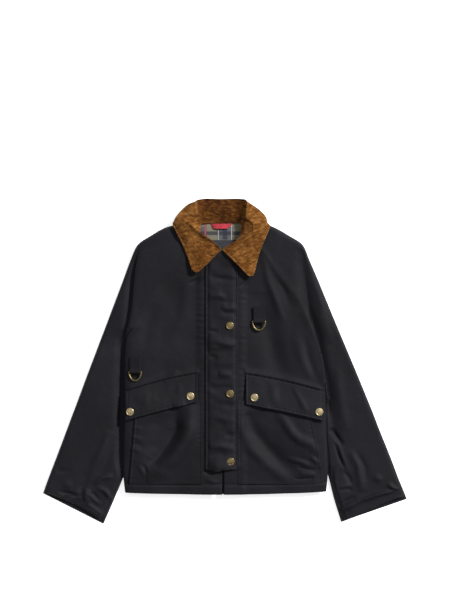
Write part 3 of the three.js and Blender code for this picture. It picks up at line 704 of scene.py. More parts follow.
def beside_fly(x, y):
    """The fronts are thicker under the fly and ripple where they are sewn to it."""
    away = abs(x - CENTRE)
    uneven = 0.5 + lumps(x, y, 40, 50, 0.5, 6) + 0.25 * (x < 0)
    ripple = pucker(away - 47, y, 13, 0.6, 9, 5) * smooth(y, -90, -60) * (1 - smooth(y, 180, 215)) * uneven
    foot = 55 + 35 * smooth(-y, 70, 110) * (x < CENTRE)
    return FACING_RISE * (1 - smooth(away, 42, foot + 4)) + ripple


def raglan_welt(from_seam, side, y, reach):
    """The seam's turnings lift the cloth along it."""
    top = UNDERARM[side][0]
    return WELT_RISE[side] * np.exp(-(from_seam / reach) ** 2) * smooth(y, top - 30, top)


def front_top(side, x, y):
    """Height of a front as it lies, with its creases."""
    from_edge = edge_of[side](y) - abs(x)
    laid = creases(x, y, BODY_CREASES) + waves(x, y, 70, 0.6, 3) + over_flap(side, x, y)
    laid = laid + beside_fly(x, y) + lumps(x, y, 26, 34, 0.55, 4)
    welt = raglan_welt(0.75 * from_edge, side, y, WELT_REACH[side])
    return front_smooth(side, x, y) + laid * smooth(from_edge, 1, 16) + welt


def hem_curve(x):
    """The hem rises a little from its middle to the side seams."""
    return -0.5 + np.where(x < 0, 4, 6.5) * (abs(x) / 222) ** 2


def hem_drop(x, y):
    """The hem's curve, which fades out above it."""
    return hem_curve(x) * (1 - smooth(y, HEM_Y, HEM_Y + 90))


def hem_band(from_hem):
    """The turned-up hem stands as a soft tube below a pressed stitch line."""
    tube = HEM_TUBE * smooth(from_hem, -6, 3) * (1 - smooth(from_hem, HEM_BAND - 4, HEM_BAND - 0.5))
    return tube - HEM_GROOVE * np.exp(-((from_hem - HEM_BAND) / 1.6) ** 2)


def front_grid(side):
    y = np.linspace(HEM_Y, FRONT_NECK_Y - 2, int((FRONT_NECK_Y - HEM_Y) / GRID))[:, None]
    inner = front_inner(side, y)
    edge = edge_of[side](y)
    roll = np.minimum(SIDE_ROLL, (edge - inner) * 0.4)
    plain = mix(inner, edge - roll, np.linspace(0, 1, 74))
    rolled = edge - roll * roll_shares(16)[::-1][1:]
    x = SIGN[side] * np.concatenate([plain, rolled], axis=1)
    z = front_top(side, x, y) + hem_band(y - HEM_Y)
    return points_grid(x, y + hem_drop(x, y), z)


def back_grid():
    y = np.linspace(HEM_Y, NECK_Y, 150)[:, None]
    neck_edge = {
        side: curve_through([(RAGLAN_TOP, SLEEVE[side][0][0] - 0.4), (NECK_Y, SLEEVE[side][0][4] - 0.4)])
        for side in SLEEVE
    }
    halves = []
    for side in ("right", "left"):
        edge = np.where(y <= RAGLAN_TOP, edge_of[side](y), neck_edge[side](y)) - BACK_SEAM_SHIFT
        across = edge * np.linspace(0, 1, 60)
        x = SIGN[side] * across
        halves.append(points_grid(x, y + hem_drop(x, y), back_top(side, x, y)))
    return np.concatenate([halves[0][:, :0:-1], halves[1]], axis=1)


# ---- sleeves ---------------------------------------------------------------------------------
# The pleat: steps outwards from its line where it overhangs and where it is soft, and how
# much of its height is left at each.
PLEAT_OVER = np.array([-6, -3, -1, 0, -0.3, -1.6, -2.4, -1.6, 0.5, 3, 6.5])
PLEAT_SOFT = np.array([-6, -4, -2, 0, 1.5, 3, 4.5, 6, 7.5, 9, 11])
PLEAT_LEFT = np.array([1, 0.97, 0.87, 0.69, 0.49, 0.31, 0.11, 0.02, 0, 0, 0])
# The left sleeve has no standing pleat: it slopes from the seam to its outer part.
SLEEVE_SLOPE = {"right": 0, "left": 1}
# How far a cuff's front edge lies short of its back edge, at shares of the cuff's width.
CUFF_BOW = {
    "right": [(0, 1), (0.2, 8), (0.45, 10.5), (0.75, 7.5), (1, 2.5)],
    "left": [(0, 1.5), (0.3, 6), (0.6, 10), (0.85, 11.5), (1, 8)],
}


def sleeve_rows(side):
    """The sleeve's stations, drawn out into close rows."""
    table = np.array(SLEEVE[side], float)
    middle = (table[:, 2:4] + table[:, 4:6]) / 2
    run = run_along(middle)
    places = np.linspace(0, run[-1], int(run[-1] / GRID))
    columns = [curve_through(list(zip(run, column)))(places) for column in table.T]
    return places, np.stack(columns, axis=1)


def sleeve_front_grid(side):
    sign = SIGN[side]
    places, rows = sleeve_rows(side)
    start, fold, end = rows[:, None, 0:2], rows[:, None, 2:4], rows[:, None, 4:6]
    on_body, low = rows[:, 6:7], rows[:, 7:8]
    size_in = np.linalg.norm(fold - start, axis=2)
    size_out = np.linalg.norm(end - fold, axis=2)
    to_fold = (fold - start) / size_in[..., None]
    to_end = (end - fold) / size_out[..., None]
    in_roll = np.minimum(TUCK_ROLL, size_in * 0.4)
    out_roll = np.minimum(SLEEVE_ROLL, size_out * 0.55)

    def top_at(points):
        return mix(UNDER_BODY, front_plain(points[..., 0], points[..., 1]), on_body)

    rim = mix(RIM, top_at(start), on_body)
    rise = roll_shares(5)
    scale = np.minimum(np.minimum(1, size_in * 0.6 / 6), (size_out - out_roll) / 12)
    step = top_at(fold) - low
    over = smooth(step, 2, 6)
    pleat = scale * mix(PLEAT_SOFT, PLEAT_OVER, over)
    before = [in_roll * rise, mix(in_roll, size_in + pleat[:, :1], np.linspace(0, 1, 12)[1:-1])]
    after = mix(pleat[:, -1:], size_out - out_roll, np.linspace(0, 1, 34)[1:])
    rolled = size_out - out_roll * roll_shares(12)[::-1][1:]
    inner_part = start + to_fold * np.concatenate(before, axis=1)[..., None]
    pleat_part = fold + np.where(pleat < 0, 1, 0)[..., None] * to_fold * pleat[..., None]
    pleat_part = pleat_part + np.where(pleat < 0, 0, 1)[..., None] * to_end * pleat[..., None]
    outer_part = fold + to_end * np.concatenate([after, rolled], axis=1)[..., None]
    plan = np.concatenate([inner_part, pleat_part, outer_part], axis=1)
    inner_z = top_at(inner_part)
    inner_z[:, :6] = rim + (inner_z[:, :6] - rim) * quarter(rise)
    across = np.linalg.norm(inner_part - start, axis=2) / size_in
    sloped = SLEEVE_SLOPE[side] * smooth(size_in, 6, 20)
    inner_z = mix(inner_z, low, sloped * smooth(across, 0, 1.15))
    pleat_z = low + step * PLEAT_LEFT * (1 - sloped)
    outer_z = np.concatenate([np.broadcast_to(low, after.shape),
                              RIM + (low - RIM) * quarter(roll_shares(12)[::-1][1:])], axis=1)
    z = np.concatenate([inner_z, pleat_z, outer_z], axis=1)
    x = sign * plan[..., 0]
    y = plan[..., 1]
    from_out = np.linalg.norm(plan - end, axis=2)
    from_in = np.linalg.norm(plan - start, axis=2)
    free = smooth(from_out, 1, 14)
    laid = creases(x, y, SLEEVE_CREASES[side]) + waves(x, y, 60, 0.4, 11)
    z = z + laid * free
    z = z + raglan_welt(from_in, side, rows[:, 1:2], WELT_BEHIND[side])
    cuff = places[-1] - places[:, None]
    z = np.maximum(z - CUFF_DROP[side] * free * (1 - smooth(cuff, 0, 9)), RIM)
    across = from_in / (from_in + from_out)
    short = curve_through(CUFF_BOW[side])(across) * (1 - smooth(cuff, 0, 60))
    way = (rows[-1] - rows[-20])[2:6].reshape(2, 2).mean(axis=0)
    way = way / np.linalg.norm(way)
    return points_grid(x - sign * way[0] * short, y - way[1] * short, z)


def sleeve_back_grid(side):
    _, rows = sleeve_rows(side)
    shares = np.linspace(0, 1, 40)
    x = SIGN[side] * mix(rows[:, 0:1] - BACK_SEAM_SHIFT, rows[:, 4:5], shares)
    y = mix(rows[:, 1:2], rows[:, 5:6], shares)
    return points_grid(x, y, WALL)


# ---- pieces on the fronts --------------------------------------------------------------------
FLY = {"right": -42.2, "left": 27.5, "bottom": -235.4, "top": 243, "wall": 2}
FLY_CREASES = [
    (4.8, 7, (-38, 145), (-14, 145), (4, 139)),
    (4.4, 7, (-8, 121), (5, 117), (26, 118)),
    (5.6, 9, (-42, 48), (-16, 46), (10, 38), (28, 38)),
    (2, 5, (-40, 30), (-24, 32), (-10, 28)),
    (4.4, 7, (-14, -26), (4, -27), (16, -29)),
    (-3.4, 6, (-34, 186), (-10, 182), (26, 178)),
    (-2.6, 5, (-8, 110), (6, 106), (28, 108)),
    (-3, 4, (-38, 68), (-24, 67), (-14, 66)),
    (-2.6, 5, (-38, 12), (-26, 11), (-16, 10)),
    (-4.2, 7, (-40, -52), (-22, -58), (2, -56), (20, -60)),
    (-2.2, 7, (-20, -92), (28, -98)),
    (2, 8, (-36, -120), (4, -126), (28, -122)),
    (5, 8, (-36, -186), (-14, -183), (24, -190)),
    (-2.4, 5, (0, -160), (22, -158)),
    (-2, 6, (-36, -206), (-10, -202), (4, -206)),
]
POCKET = {
    "right": {"side_top": 194, "side_bottom": 209, "centre": 50.5},
    "left": {"side_top": 184, "side_bottom": 217, "centre": 28.6},
}
POCKET_TOP, POCKET_OUTER_TOP, POCKET_BOTTOM = -60, -98, -268
FLAP_CREASES = [
    (4, 14, (-112, -104), (-84, -96)),
    (3, 14, (60, -98), (100, -104)),
    (3, 8, (102, -40), (106, -66), (108, -92)),
    (-2.4, 7, (122, -44), (126, -72), (132, -98)),
    (2.7, 6, (150, -54), (164, -80), (178, -108)),
    (-2.2, 7, (132, -50), (148, -84), (160, -104)),
    (-1.9, 7, (186, -66), (200, -92)),
    (1.9, 7, (60, -40), (84, -50)),
    (2.2, 6, (-96, -48), (-104, -70)),
    (-1.9, 7, (-132, -52), (-146, -84)),
    (1.9, 7, (-166, -66), (-178, -94)),
    (-1.6, 6, (-196, -78), (-202, -96)),
]
STITCH_INSET = 3.8


def surface(x, y):
    return np.where(x < 0, front_top("right", x, y), front_top("left", x, y))


def surface_normal(x, y):
    step = 0.5
    along_x = (surface(x + step, y) - surface(x - step, y)) / (2 * step)
    along_y = (surface(x, y + step) - surface(x, y - step)) / (2 * step)
    normal = np.stack([-along_x, -along_y, np.ones_like(along_x)], axis=-1)
    return normal / np.linalg.norm(normal, axis=-1, keepdims=True)


def over_front(x, y, height):
    """Points at a height over the fronts, square to them."""
    x, y, height = np.broadcast_arrays(np.asarray(x, float), y, height)
    base = np.stack([x, y, surface(x, y)], axis=-1)
    return base + surface_normal(x, y) * height[..., None]


def sewn_edge(from_edge, run, seed):
    """An edge turned in and topstitched: thicker outside its stitch line, pressed at it."""
    turned = 0.75 * (1 - smooth(from_edge, STITCH_INSET - 1.8, STITCH_INSET))
    pressed = -0.45 * np.exp(-((from_edge - STITCH_INSET) / 1.1) ** 2)
    return turned + pressed + pucker(from_edge - 3, run, 11, 0.2, 7, seed)


def fly_height(x, y):
    """Height of the fly's rippled face over the fronts."""
    inside = smooth(np.minimum(x - FLY["right"], FLY["left"] - x), 1, 12)
    ripple = creases(x, y, FLY_CREASES) + lumps(x, y, 19, 13, 1.1, 21)
    lift = mix(0.2, 3, inside) + ripple * mix(0.5, 1, inside)
    tail = smooth(x, -40, -16) * (1 - smooth(x, 0, 24)) * (1 - smooth(y - FLY["bottom"], 0, 40))
    lift = lift + FLY_TAIL * tail
    return SEAM + FLY["wall"] + np.maximum(lift, 0) * smooth(y - FLY["bottom"], -9, 6)


def flap_height(side, across, y):
    """Height of a flap's face over the front: low at its seam, proud at its free edge."""
    size = FLAP[side]
    share = np.clip((across - size["x"][0]) / (size["x"][1] - size["x"][0]), 0, 1)
    top = flap_top(side, across)
    end = mix(*size["end"], share) + 0.4 * FLAP_BOW * np.sin(np.pi * share)
    down = np.clip((top - y) / (top - end), 0, 1)
    over_pocket = PATCH_LIFT + PATCH_WALL + SEAM + WALL - FLAP_WALL
    x = SIGN[side] * across
    ease = np.maximum(creases(x, y, FLAP_CREASES) + lumps(x, y, 24, 18, 0.7, 41) + 0.8, 0)
    bowed = FLAP_LIFT * np.sin(np.pi * mix(0.08, 0.94, share)) ** 0.6 * smooth(down, 0.25, 1)
    return SEAM + FLAP_WALL + over_pocket * smooth(down, -0.2, 0.62) + ease * down ** 0.5 + bowed


def fly_grid():
    y = np.linspace(FLY["bottom"], FLY["top"], 190)[:, None]
    x = np.linspace(FLY["right"], FLY["left"], 60)[None, :]
    from_side = np.minimum(x - FLY["right"], FLY["left"] - x)
    from_bottom = y - FLY["bottom"]
    from_edge = np.minimum(from_side, from_bottom)
    return over_front(x, y, fly_height(x, y) + sewn_edge(from_edge, y, 22))


def pocket_grid(side):
    size = POCKET[side]
    t = np.linspace(0, 1, 90)[:, None]
    s = np.linspace(0, 1, 96)[None, :]
    across = mix(size["centre"], mix(size["side_top"], size["side_bottom"], t), s)
    top = mix(POCKET_TOP, POCKET_OUTER_TOP, s)
    top = top - 24 * (1 - smooth(s * (size["side_top"] - size["centre"]), 8, 21))
    y = mix(top, POCKET_BOTTOM, t)
    from_edge = np.minimum(across - size["centre"], (1 - s) * 140)
    lift = 0.8 * smooth(from_edge, 2, 24) + lumps(SIGN[side] * across, y, 26, 16, 0.7, 31)
    lift = np.maximum(lift, 0) * smooth(y, POCKET_BOTTOM, POCKET_BOTTOM + 25)
    height = PATCH_LIFT + PATCH_WALL + lift + sewn_edge(from_edge, y, 33)
    if side == "left":
        height = height * mix(0.25, 1, np.maximum(smooth(y, -238, -228), smooth(from_edge, 2, 16)))
    return over_front(SIGN[side] * across, y, height)


def flap_grid(side):
    size = FLAP[side]
    t = np.linspace(0, 1, 50)[:, None]
    s = np.linspace(0, 1, 90)[None, :]
    bow = FLAP_BOW * np.sin(np.pi * s)
    top = mix(*size["top"], s) + bow
    end = mix(*size["end"], s) + 0.4 * bow
    across = mix(*size["x"], s)
    x = SIGN[side] * across
    y = mix(top, end, t)
    from_ends = np.minimum(s, 1 - s) * (size["x"][1] - size["x"][0])
    from_edge = np.minimum((1 - t) * (top - end), from_ends)
    height = flap_height(side, across, y) + sewn_edge(from_edge, across, 43)
    height = height - FLAP_SUNK * (1 - smooth(top - y, 0, 3.5))
    return points_grid(x, y, surface(x, y) + height)


# ---- collar ----------------------------------------------------------------------------------
# Sections from the front end on the wearer's right, round the back, to the other front end:
# foot of the stand, middle of the stand, crest of the roll, middle and edge of the leaf.
COLLAR = [
    [(-9.7, 241, 20), (-9.5, 244.5, 24.5), (-8.9, 248, 28), (-35, 221, 32), (-61.7, 196.4, 29.5)],
    [(-17, 247, 20), (-18, 251, 27), (-20, 258, 31), (-44, 228, 33), (-68.7, 199.5, 28.5)],
    [(-31, 257, 20.4), (-33, 262, 29), (-36.5, 271, 34), (-60, 247, 32), (-80.7, 229, 24)],
    [(-45, 266, 20), (-47, 272, 30), (-51, 280.5, 36), (-76, 268, 32), (-95.7, 263, 24)],
    [(-52.5, 277, 18), (-58, 286, 28), (-77, 301, 36), (-94, 290, 31), (-107, 286, 23.5)],
    [(-53, 290, 14.5), (-66, 301, 24), (-92, 316, 33), (-108, 311, 28), (-114, 304, 21)],
    [(-53, 299, 10.5), (-57, 314, 19), (-64, 329, 30), (-103, 323, 20), (-100, 311, 6)],
    [(-49, 302.5, 8.5), (-56, 322, 15), (-64, 351, 22), (-78, 346, 9), (-84, 327, 1.5)],
    [(-34, 304.5, 7.4), (-39, 331, 11), (-48, 357, 12), (-62, 337, 0.8), (-66, 313, 0.4)],
    [(-7.7, 304.5, 7.2), (-7.7, 331, 10.5), (-7.7, 357, 8), (-7.7, 334, 0.4), (-7.7, 311, 0.2)],
    [(18.6, 304.5, 7.4), (23.6, 331, 11), (33, 357, 12), (45, 337, 0.8), (49.6, 313, 0.4)],
    [(33.6, 302.5, 8.5), (38, 322, 15), (47, 352.5, 22), (61, 342, 9), (67.6, 328, 1.5)],
    [(35, 298, 10.5), (39, 306, 19), (47, 314, 30), (90, 316, 20), (88, 307, 6)],
    [(34.5, 290, 14.5), (42, 297, 24), (59, 304, 34), (86, 303, 29), (98, 298, 21)],
    [(32, 278, 18), (42, 283, 28), (60.5, 282, 36), (80, 279, 31), (91.8, 280, 23.5)],
    [(27, 268.5, 20), (32, 271, 29), (41, 274.5, 35.5), (66, 261, 32), (81.3, 255, 24)],
    [(17, 257, 20.4), (20, 262, 29), (26.5, 265.5, 34), (50, 240, 32), (69.3, 221, 24)],
    [(4.3, 249, 20), (6, 252, 26), (8, 255.5, 31), (34.5, 224, 33), (60.3, 190.5, 28.5)],
    [(-5.7, 241, 20), (-5.6, 244, 24), (-5, 246.4, 28), (24, 219, 32), (53.3, 188.4, 29.5)],
]
COLLAR_RUN = 640.0       # nominal, paces the ripples beside the collar's stitches
COLLAR_CREASES = [
    (1.8, 6, (-2, 338), (35, 312)),
    (-2.6, 7, (17, 338), (41, 322)),
    (-1.6, 4, (-43, 340), (-42, 318)),
    (1, 4, (-31, 340), (-30, 315)),
    (0.9, 4, (-15, 340), (-15, 318)),
    (-3.2, 7, (-88, 304), (-78, 284), (-60, 267), (-30, 256)),
    (1.2, 5, (-84, 286), (-56, 258)),
    (-1.2, 5, (74, 296), (72, 262), (56, 238)),
    (1, 6, (82, 290), (70, 240)),
]


def collar_sections():
    """The table's sections with two more points that tighten the crest of the roll."""
    sections = np.array(COLLAR, float)
    foot, stand, crest, leaf, edge = sections.transpose(1, 0, 2)
    before = mix(crest, stand, 0.2)
    beyond = mix(crest, leaf, 0.14)
    return np.stack([foot, stand, before, crest, beyond, leaf, edge], axis=1)


def spline(points, shares):
    """A rounded line through rows of points, read at shares of the number of points."""
    ends = [2 * points[:1] - points[1:2], points, 2 * points[-1:] - points[-2:-1]]
    padded = np.concatenate(ends)
    place = np.asarray(shares) * (len(points) - 1)
    i = np.minimum(place.astype(int), len(points) - 2)
    t = (place - i).reshape((-1,) + (1,) * (points.ndim - 1))
    p0, p1, p2, p3 = (padded[i + k] for k in range(4))
    gap = [np.maximum(np.linalg.norm(b - a, axis=-1, keepdims=True), 1e-6) ** 0.5
           for a, b in ((p0, p1), (p1, p2), (p2, p3))]
    out = (p1 - p0) / gap[0] - (p2 - p0) / (gap[0] + gap[1]) + (p2 - p1) / gap[1]
    into = (p2 - p1) / gap[1] - (p3 - p1) / (gap[1] + gap[2]) + (p3 - p2) / gap[2]
    out, into = out * gap[1], into * gap[1]
    square = 3 * (p2 - p1) - 2 * out - into
    cube = 2 * (p1 - p2) + out + into
    return p1 + t * (out + t * (square + t * cube))


def collar_grid():
    columns = 64
    along = spline(collar_sections(), np.linspace(0, 1, 280))
    grid = spline(along.transpose(1, 0, 2), np.linspace(0, 1, columns)).transpose(1, 0, 2)
    x, y = grid[..., 0], grid[..., 1]
    share = np.linspace(0, 1, columns)[None, :]
    steps = np.linalg.norm(np.diff(grid, axis=1), axis=2)
    reached = np.concatenate([np.zeros((len(grid), 1)), np.cumsum(steps, axis=1)], axis=1)
    run = np.linspace(0, COLLAR_RUN, len(grid))[:, None]
    from_edge = np.minimum(reached[:, -1:] - reached, np.minimum(run, COLLAR_RUN - run) + 1)
    laid = waves(x, y, 36, 0.5, 51) + creases(x, y, COLLAR_CREASES)
    height = laid * smooth(reached, 3, 14) + 1.8 * sewn_edge(from_edge, run, 52) * smooth(share, 0.5, 0.7)
    normals = grid_normals(grid)
    normals = normals * np.sign(normals[..., 2].mean())
    height = height * smooth(normals[..., 2], 0.05, 0.5) * smooth(abs(share - 0.5), 0.02, 0.1)
    return grid + normals * height[..., None]


def wale_uvs(piece):
    """Corduroy wales: level at the back, slanting down towards both tips of the leaves."""
    slant = math.radians(22)
    mesh = piece.data
    points = np.zeros(len(mesh.vertices) * 3)
    mesh.vertices.foreach_get("co", points)
    x, y, z = points.reshape(-1, 3).T / MM
    bent = np.sqrt((x - CENTRE) ** 2 + 30 ** 2)
    across = y * math.cos(slant) - bent * math.sin(slant) + 0.35 * z
    corners = np.zeros(len(mesh.loops), dtype=np.int32)
    mesh.loops.foreach_get("vertex_index", corners)
    uv = np.stack([x, across], axis=1)[corners] * MM
    mesh.uv_layers["UVMap"].data.foreach_set("uv", uv.ravel())


# ---- inside the back neck --------------------------------------------------------------------
def patch_grid(corners, top, bow=0.0):
    """A flat patch between its right and left ends, each given bottom point first."""
    right, left = np.array(corners, float)
    t = np.linspace(0, 1, 24)[:, None, None]
    s = np.linspace(0, 1, 40)[None, :, None]
    plan = mix(mix(right[0], right[1], t), mix(left[0], left[1], t), s)
    height = top + bow * np.sin(np.pi * s[..., 0]) ** 0.7
    return points_grid(plan[..., 0], plan[..., 1], height)


LINING_TOP = WALL + SEAM + THIN_WALL
LINING_CORNERS = [[(-66, 205), (-66, 305)], [(50, 205), (50, 305)]]
LABEL_CORNERS = [[(-44, 222), (-44, 267)], [(26, 222), (26, 267)]]
LOOP_CORNERS = [[(-26, 291.7), (-30.6, 302.4)], [(6.6, 291.7), (16.5, 302.4)]]


# ---- hardware --------------------------------------------------------------------------------
SNAP_RADIUS = 8.6
SNAP_LIFT = 0.5
SNAPS = [
    ("snap_fly_top", 10.8, 79.4, "fly"),
    ("snap_fly_middle", 10.8, -69, "fly"),
    ("snap_fly_bottom", 12.1, -217, "fly"),
    ("snap_flap_right_centre", -75.7, -74.4, "flap"),
    ("snap_flap_right_side", -206, -108, "flap"),
    ("snap_flap_left_centre", 63.8, -77.2, "flap"),
    ("snap_flap_left_side", 204.5, -108.5, "flap"),
]
RING_HALF, RING_DROP, RING_WIRE = 14.0, 19.0, 1.8
WEBBING_WIDTH, WEBBING_CLEARANCE, WEBBING_SLOPE = 24.0, 0.3, 8.0
WEBBING_TOP = THIN_WALL + SEAM - RING_WIRE - WEBBING_CLEARANCE
TABS = [("chest", 32), ("side", 31)]


def clear_selection():
    if bpy.context.object and bpy.context.object.mode != "OBJECT":
        bpy.ops.object.mode_set(mode="OBJECT")
    bpy.ops.object.select_all(action="DESELECT")


def choose(piece, wanted, kind="faces"):
    """In edit mode, selects the faces, edges or vertices that a test picks."""
    bpy.ops.mesh.select_all(action="DESELECT")
    cage = bmesh.from_edit_mesh(piece.data)
    for part in getattr(cage, kind):
        part.select = wanted(part)
    cage.select_flush_mode()
    bmesh.update_edit_mesh(piece.data)


def apply_modifier(piece, kind, **settings):
    modifier = piece.modifiers.new(kind.lower(), kind)
    for name, value in settings.items():
        setattr(modifier, name, value)
    clear_selection()
    piece.select_set(True)
    bpy.context.view_layer.objects.active = piece
    bpy.ops.object.modifier_apply(modifier=modifier.name)


def copy_to(master, name, matrix):
    piece = master.copy()
    piece.data = master.data.copy()
    piece.name = name
    piece.data.transform(matrix)
    bpy.context.collection.objects.link(piece)
    return piece


def model_snap():
    """The cap of a snap: a rolled rim, a groove and a slightly domed face."""
    clear_selection()
    bpy.ops.mesh.primitive_cylinder_add(
        vertices=48, radius=(SNAP_RADIUS - 0.35) * MM, depth=1.2 * MM, location=(0, 0, 0.6 * MM))
    cap = bpy.context.object
    bpy.ops.object.transform_apply(location=True)
    bpy.ops.object.mode_set(mode="EDIT")
    bpy.ops.mesh.select_mode(type="FACE")
    choose(cap, lambda face: face.normal.z > 0.9)
    for inset, lift in ((0.55, 0.75), (0.8, 0.1), (0.5, -0.4), (0.6, 0.1), (2.4, 0.35), (2, 0.18)):
        bpy.ops.mesh.inset(thickness=inset * MM)
        bpy.ops.transform.translate(value=(0, 0, lift * MM))
    choose(cap, lambda face: abs(face.normal.z) < 0.1)
    bpy.ops.transform.resize(value=(1.04, 1.04, 1), center_override=(0, 0, 0))
    bpy.ops.object.mode_set(mode="OBJECT")
    apply_modifier(cap, "BEVEL", width=0.22 * MM, segments=2, limit_method="ANGLE", angle_limit=0.5)
    cap.data.shade_smooth()
    return cap


def model_ring():
    """A wire D with its straight bar along X, flattened and drawn down from a round ring."""
    clear_selection()
    bpy.ops.mesh.primitive_circle_add(vertices=72, radius=RING_HALF * MM)
    ring = bpy.context.object
    bpy.ops.object.mode_set(mode="EDIT")
    bpy.ops.mesh.select_mode(type="VERT")
    choose(ring, lambda vert: vert.co.y > 1e-6, "verts")
    bpy.ops.transform.resize(value=(1, 0, 1), center_override=(0, 0, 0))
    choose(ring, lambda vert: vert.co.y < -1e-6, "verts")
    bpy.ops.transform.resize(value=(1, RING_DROP / RING_HALF, 1), center_override=(0, 0, 0))
    bpy.ops.mesh.select_all(action="SELECT")
    bpy.ops.mesh.vertices_smooth(factor=0.5, repeat=2)
    bpy.ops.object.mode_set(mode="OBJECT")
    bpy.ops.object.convert(target="CURVE")
    ring = bpy.context.object
    ring.data.bevel_depth = RING_WIRE * MM
    ring.data.bevel_resolution = 4
    bpy.ops.object.convert(target="MESH")
    ring = bpy.context.object
    ring.data.shade_smooth()
    return ring


def surface_matrix(x, y, height):
    """A frame on the cloth at a place, with Z square to the cloth."""
    place = over_front(x, y, height) * MM
    normal = Vector(surface_normal(np.float64(x), np.float64(y)))
    turn = Vector((0, 0, 1)).rotation_difference(normal).to_matrix().to_4x4()
    return Matrix.Translation(Vector(place)) @ turn


def tab_matrix(joint):
    """A frame at a ring's bar: X along the bar, Y up the webbing."""
    across = -Vector(joint["axis"]).normalized()
    up = Vector((0, 1, 0))
    up = (up - up.dot(across) * across).normalized()
    normal = across.cross(up)
    turn = Matrix((across, up, normal)).transposed().to_4x4()
    return Matrix.Translation(Vector(joint["pos_m"])) @ turn


def webbing_grid(length):
    """Outer face of webbing folded round a bar at the origin and sewn flat, along then across."""
    outer = RING_WIRE + WEBBING_CLEARANCE + THIN_WALL
    top = WEBBING_TOP
    under = [(y, -outer) for y in np.linspace(length, 0, 26)[:-1]]
    turn = [(-outer * math.sin(a), -outer * math.cos(a)) for a in np.linspace(0, math.pi, 22)]
    slope = [(WEBBING_SLOPE * t, mix(outer, top, smooth(t, 0, 1))) for t in np.linspace(0, 1, 9)[1:]]
    flat = [(y, top) for y in np.linspace(WEBBING_SLOPE, length, 22)[1:]]
    path = np.array(under + turn + slope + flat)
    x = np.linspace(-WEBBING_WIDTH / 2, WEBBING_WIDTH / 2, 21)[None, :]
    return points_grid(x, path[:, :1], path[:, 1:])


# ---- stitches --------------------------------------------------------------------------------
STITCH_LENGTH, STITCH_GAP, THREAD = 2.4, 0.9, 0.3


def line_on(grid, side, inset, trim=0.0):
    """Points and normals of a line along one side of a grid, a distance inside its edge."""
    normals = grid_normals(grid)
    normals = normals * np.sign(normals[..., 2].mean())
    if side in ("first_row", "last_row"):
        grid, normals = grid.transpose(1, 0, 2), normals.transpose(1, 0, 2)
    if side in ("last_row", "last_column"):
        grid, normals = grid[:, ::-1], normals[:, ::-1]
    points, ups = [], []
    for across, up in zip(grid, normals):
        reached = run_along(across)
        points.append([np.interp(inset, reached, across[:, k]) for k in range(3)])
        ups.append([np.interp(inset, reached, up[:, k]) for k in range(3)])
    points, ups = np.array(points), np.array(ups)
    run = run_along(points)
    kept = (run >= trim) & (run <= run[-1] - trim)
    return points[kept], ups[kept]


def edge_lines(grid, *sides):
    """Topstitching along the turned edges of a piece."""
    return [line_on(grid, side, STITCH_INSET, 5) for side in sides]


def stitch_piece(name, lines, length=STITCH_LENGTH, gap=STITCH_GAP, thread=THREAD):
    """Short raised threads laid end to end along each line."""
    rings = [(-0.5, 0), (-0.36, 1), (0.36, 1), (0.5, 0)]
    points, faces = [], []
    for line, ups in lines:
        run = run_along(line)
        middles = np.arange(length / 2, run[-1] - length / 2, length + gap)
        at = np.stack([np.interp(middles, run, line[:, k]) for k in range(3)], axis=1)
        ahead = np.stack([np.interp(middles + 0.5, run, line[:, k]) for k in range(3)], axis=1)
        up = np.stack([np.interp(middles, run, ups[:, k]) for k in range(3)], axis=1)
        run_way = ahead - at
        run_way /= np.linalg.norm(run_way, axis=1, keepdims=True)
        side_way = np.cross(up, run_way)
        for centre, forward, sideways, rise in zip(at, run_way, side_way, up):
            first = len(points)
            for share, size in rings:
                base = centre + forward * length * share + rise * thread * 0.45
                if size == 0:
                    points.append(base - rise * thread * 0.9)
                    continue
                points += [base + sideways * thread, base + rise * thread * 0.8,
                           base - sideways * thread, base - rise * thread * 0.8]
            for k in range(4):
                after = (k + 1) % 4
                a, b = first + 1 + k, first + 1 + after
                faces += [(first, b, a), (a, b, b + 4, a + 4), (a + 4, b + 4, first + 9)]
    return mesh_object(name, points, faces)


def tab_stitches(name, place):
    """A box with a cross sews one tab down, bars across sew the other."""
    half = WEBBING_WIDTH / 2 - 2.4
    low, high = WEBBING_SLOPE + 2, WEBBING_SLOPE + 21
    box = [(-half, low), (half, low), (half, high), (-half, high), (-half, low)]
    bars = [[(-half, y), (half, y)] for y in (low, low + 6, low + 12, high)]
    paths = {"chest": [box, box[:3:2], box[1:4:2]], "side": [box[1:3], box[3:]] + bars}
    lines = []
    for path in paths[name]:
        for start, end in zip(path, path[1:]):
            count = max(2, int(math.dist(start, end)))
            plan = mix(np.array(start), np.array(end), np.linspace(0, 1, count)[:, None])
            points = np.column_stack([plan, np.full(count, WEBBING_TOP)])
            lines.append((points, np.tile((0, 0, 1), (count, 1))))
    piece = stitch_piece(f"tab_stitches_{name}", lines, 1.9, 0.7, 0.5)
    piece.data.transform(place)
    return piece


# ---- zip -------------------------------------------------------------------------------------
TOOTH_PITCH = 2.6


def zip_grid():
    y = np.linspace(HEM_Y, ZIP_TOP, 200)[:, None]
    x = np.linspace(ZIP_EDGE["right"], ZIP_EDGE["left"], 7)[None, :]
    return points_grid(x, y, front_plain(x, y) - 1.6)


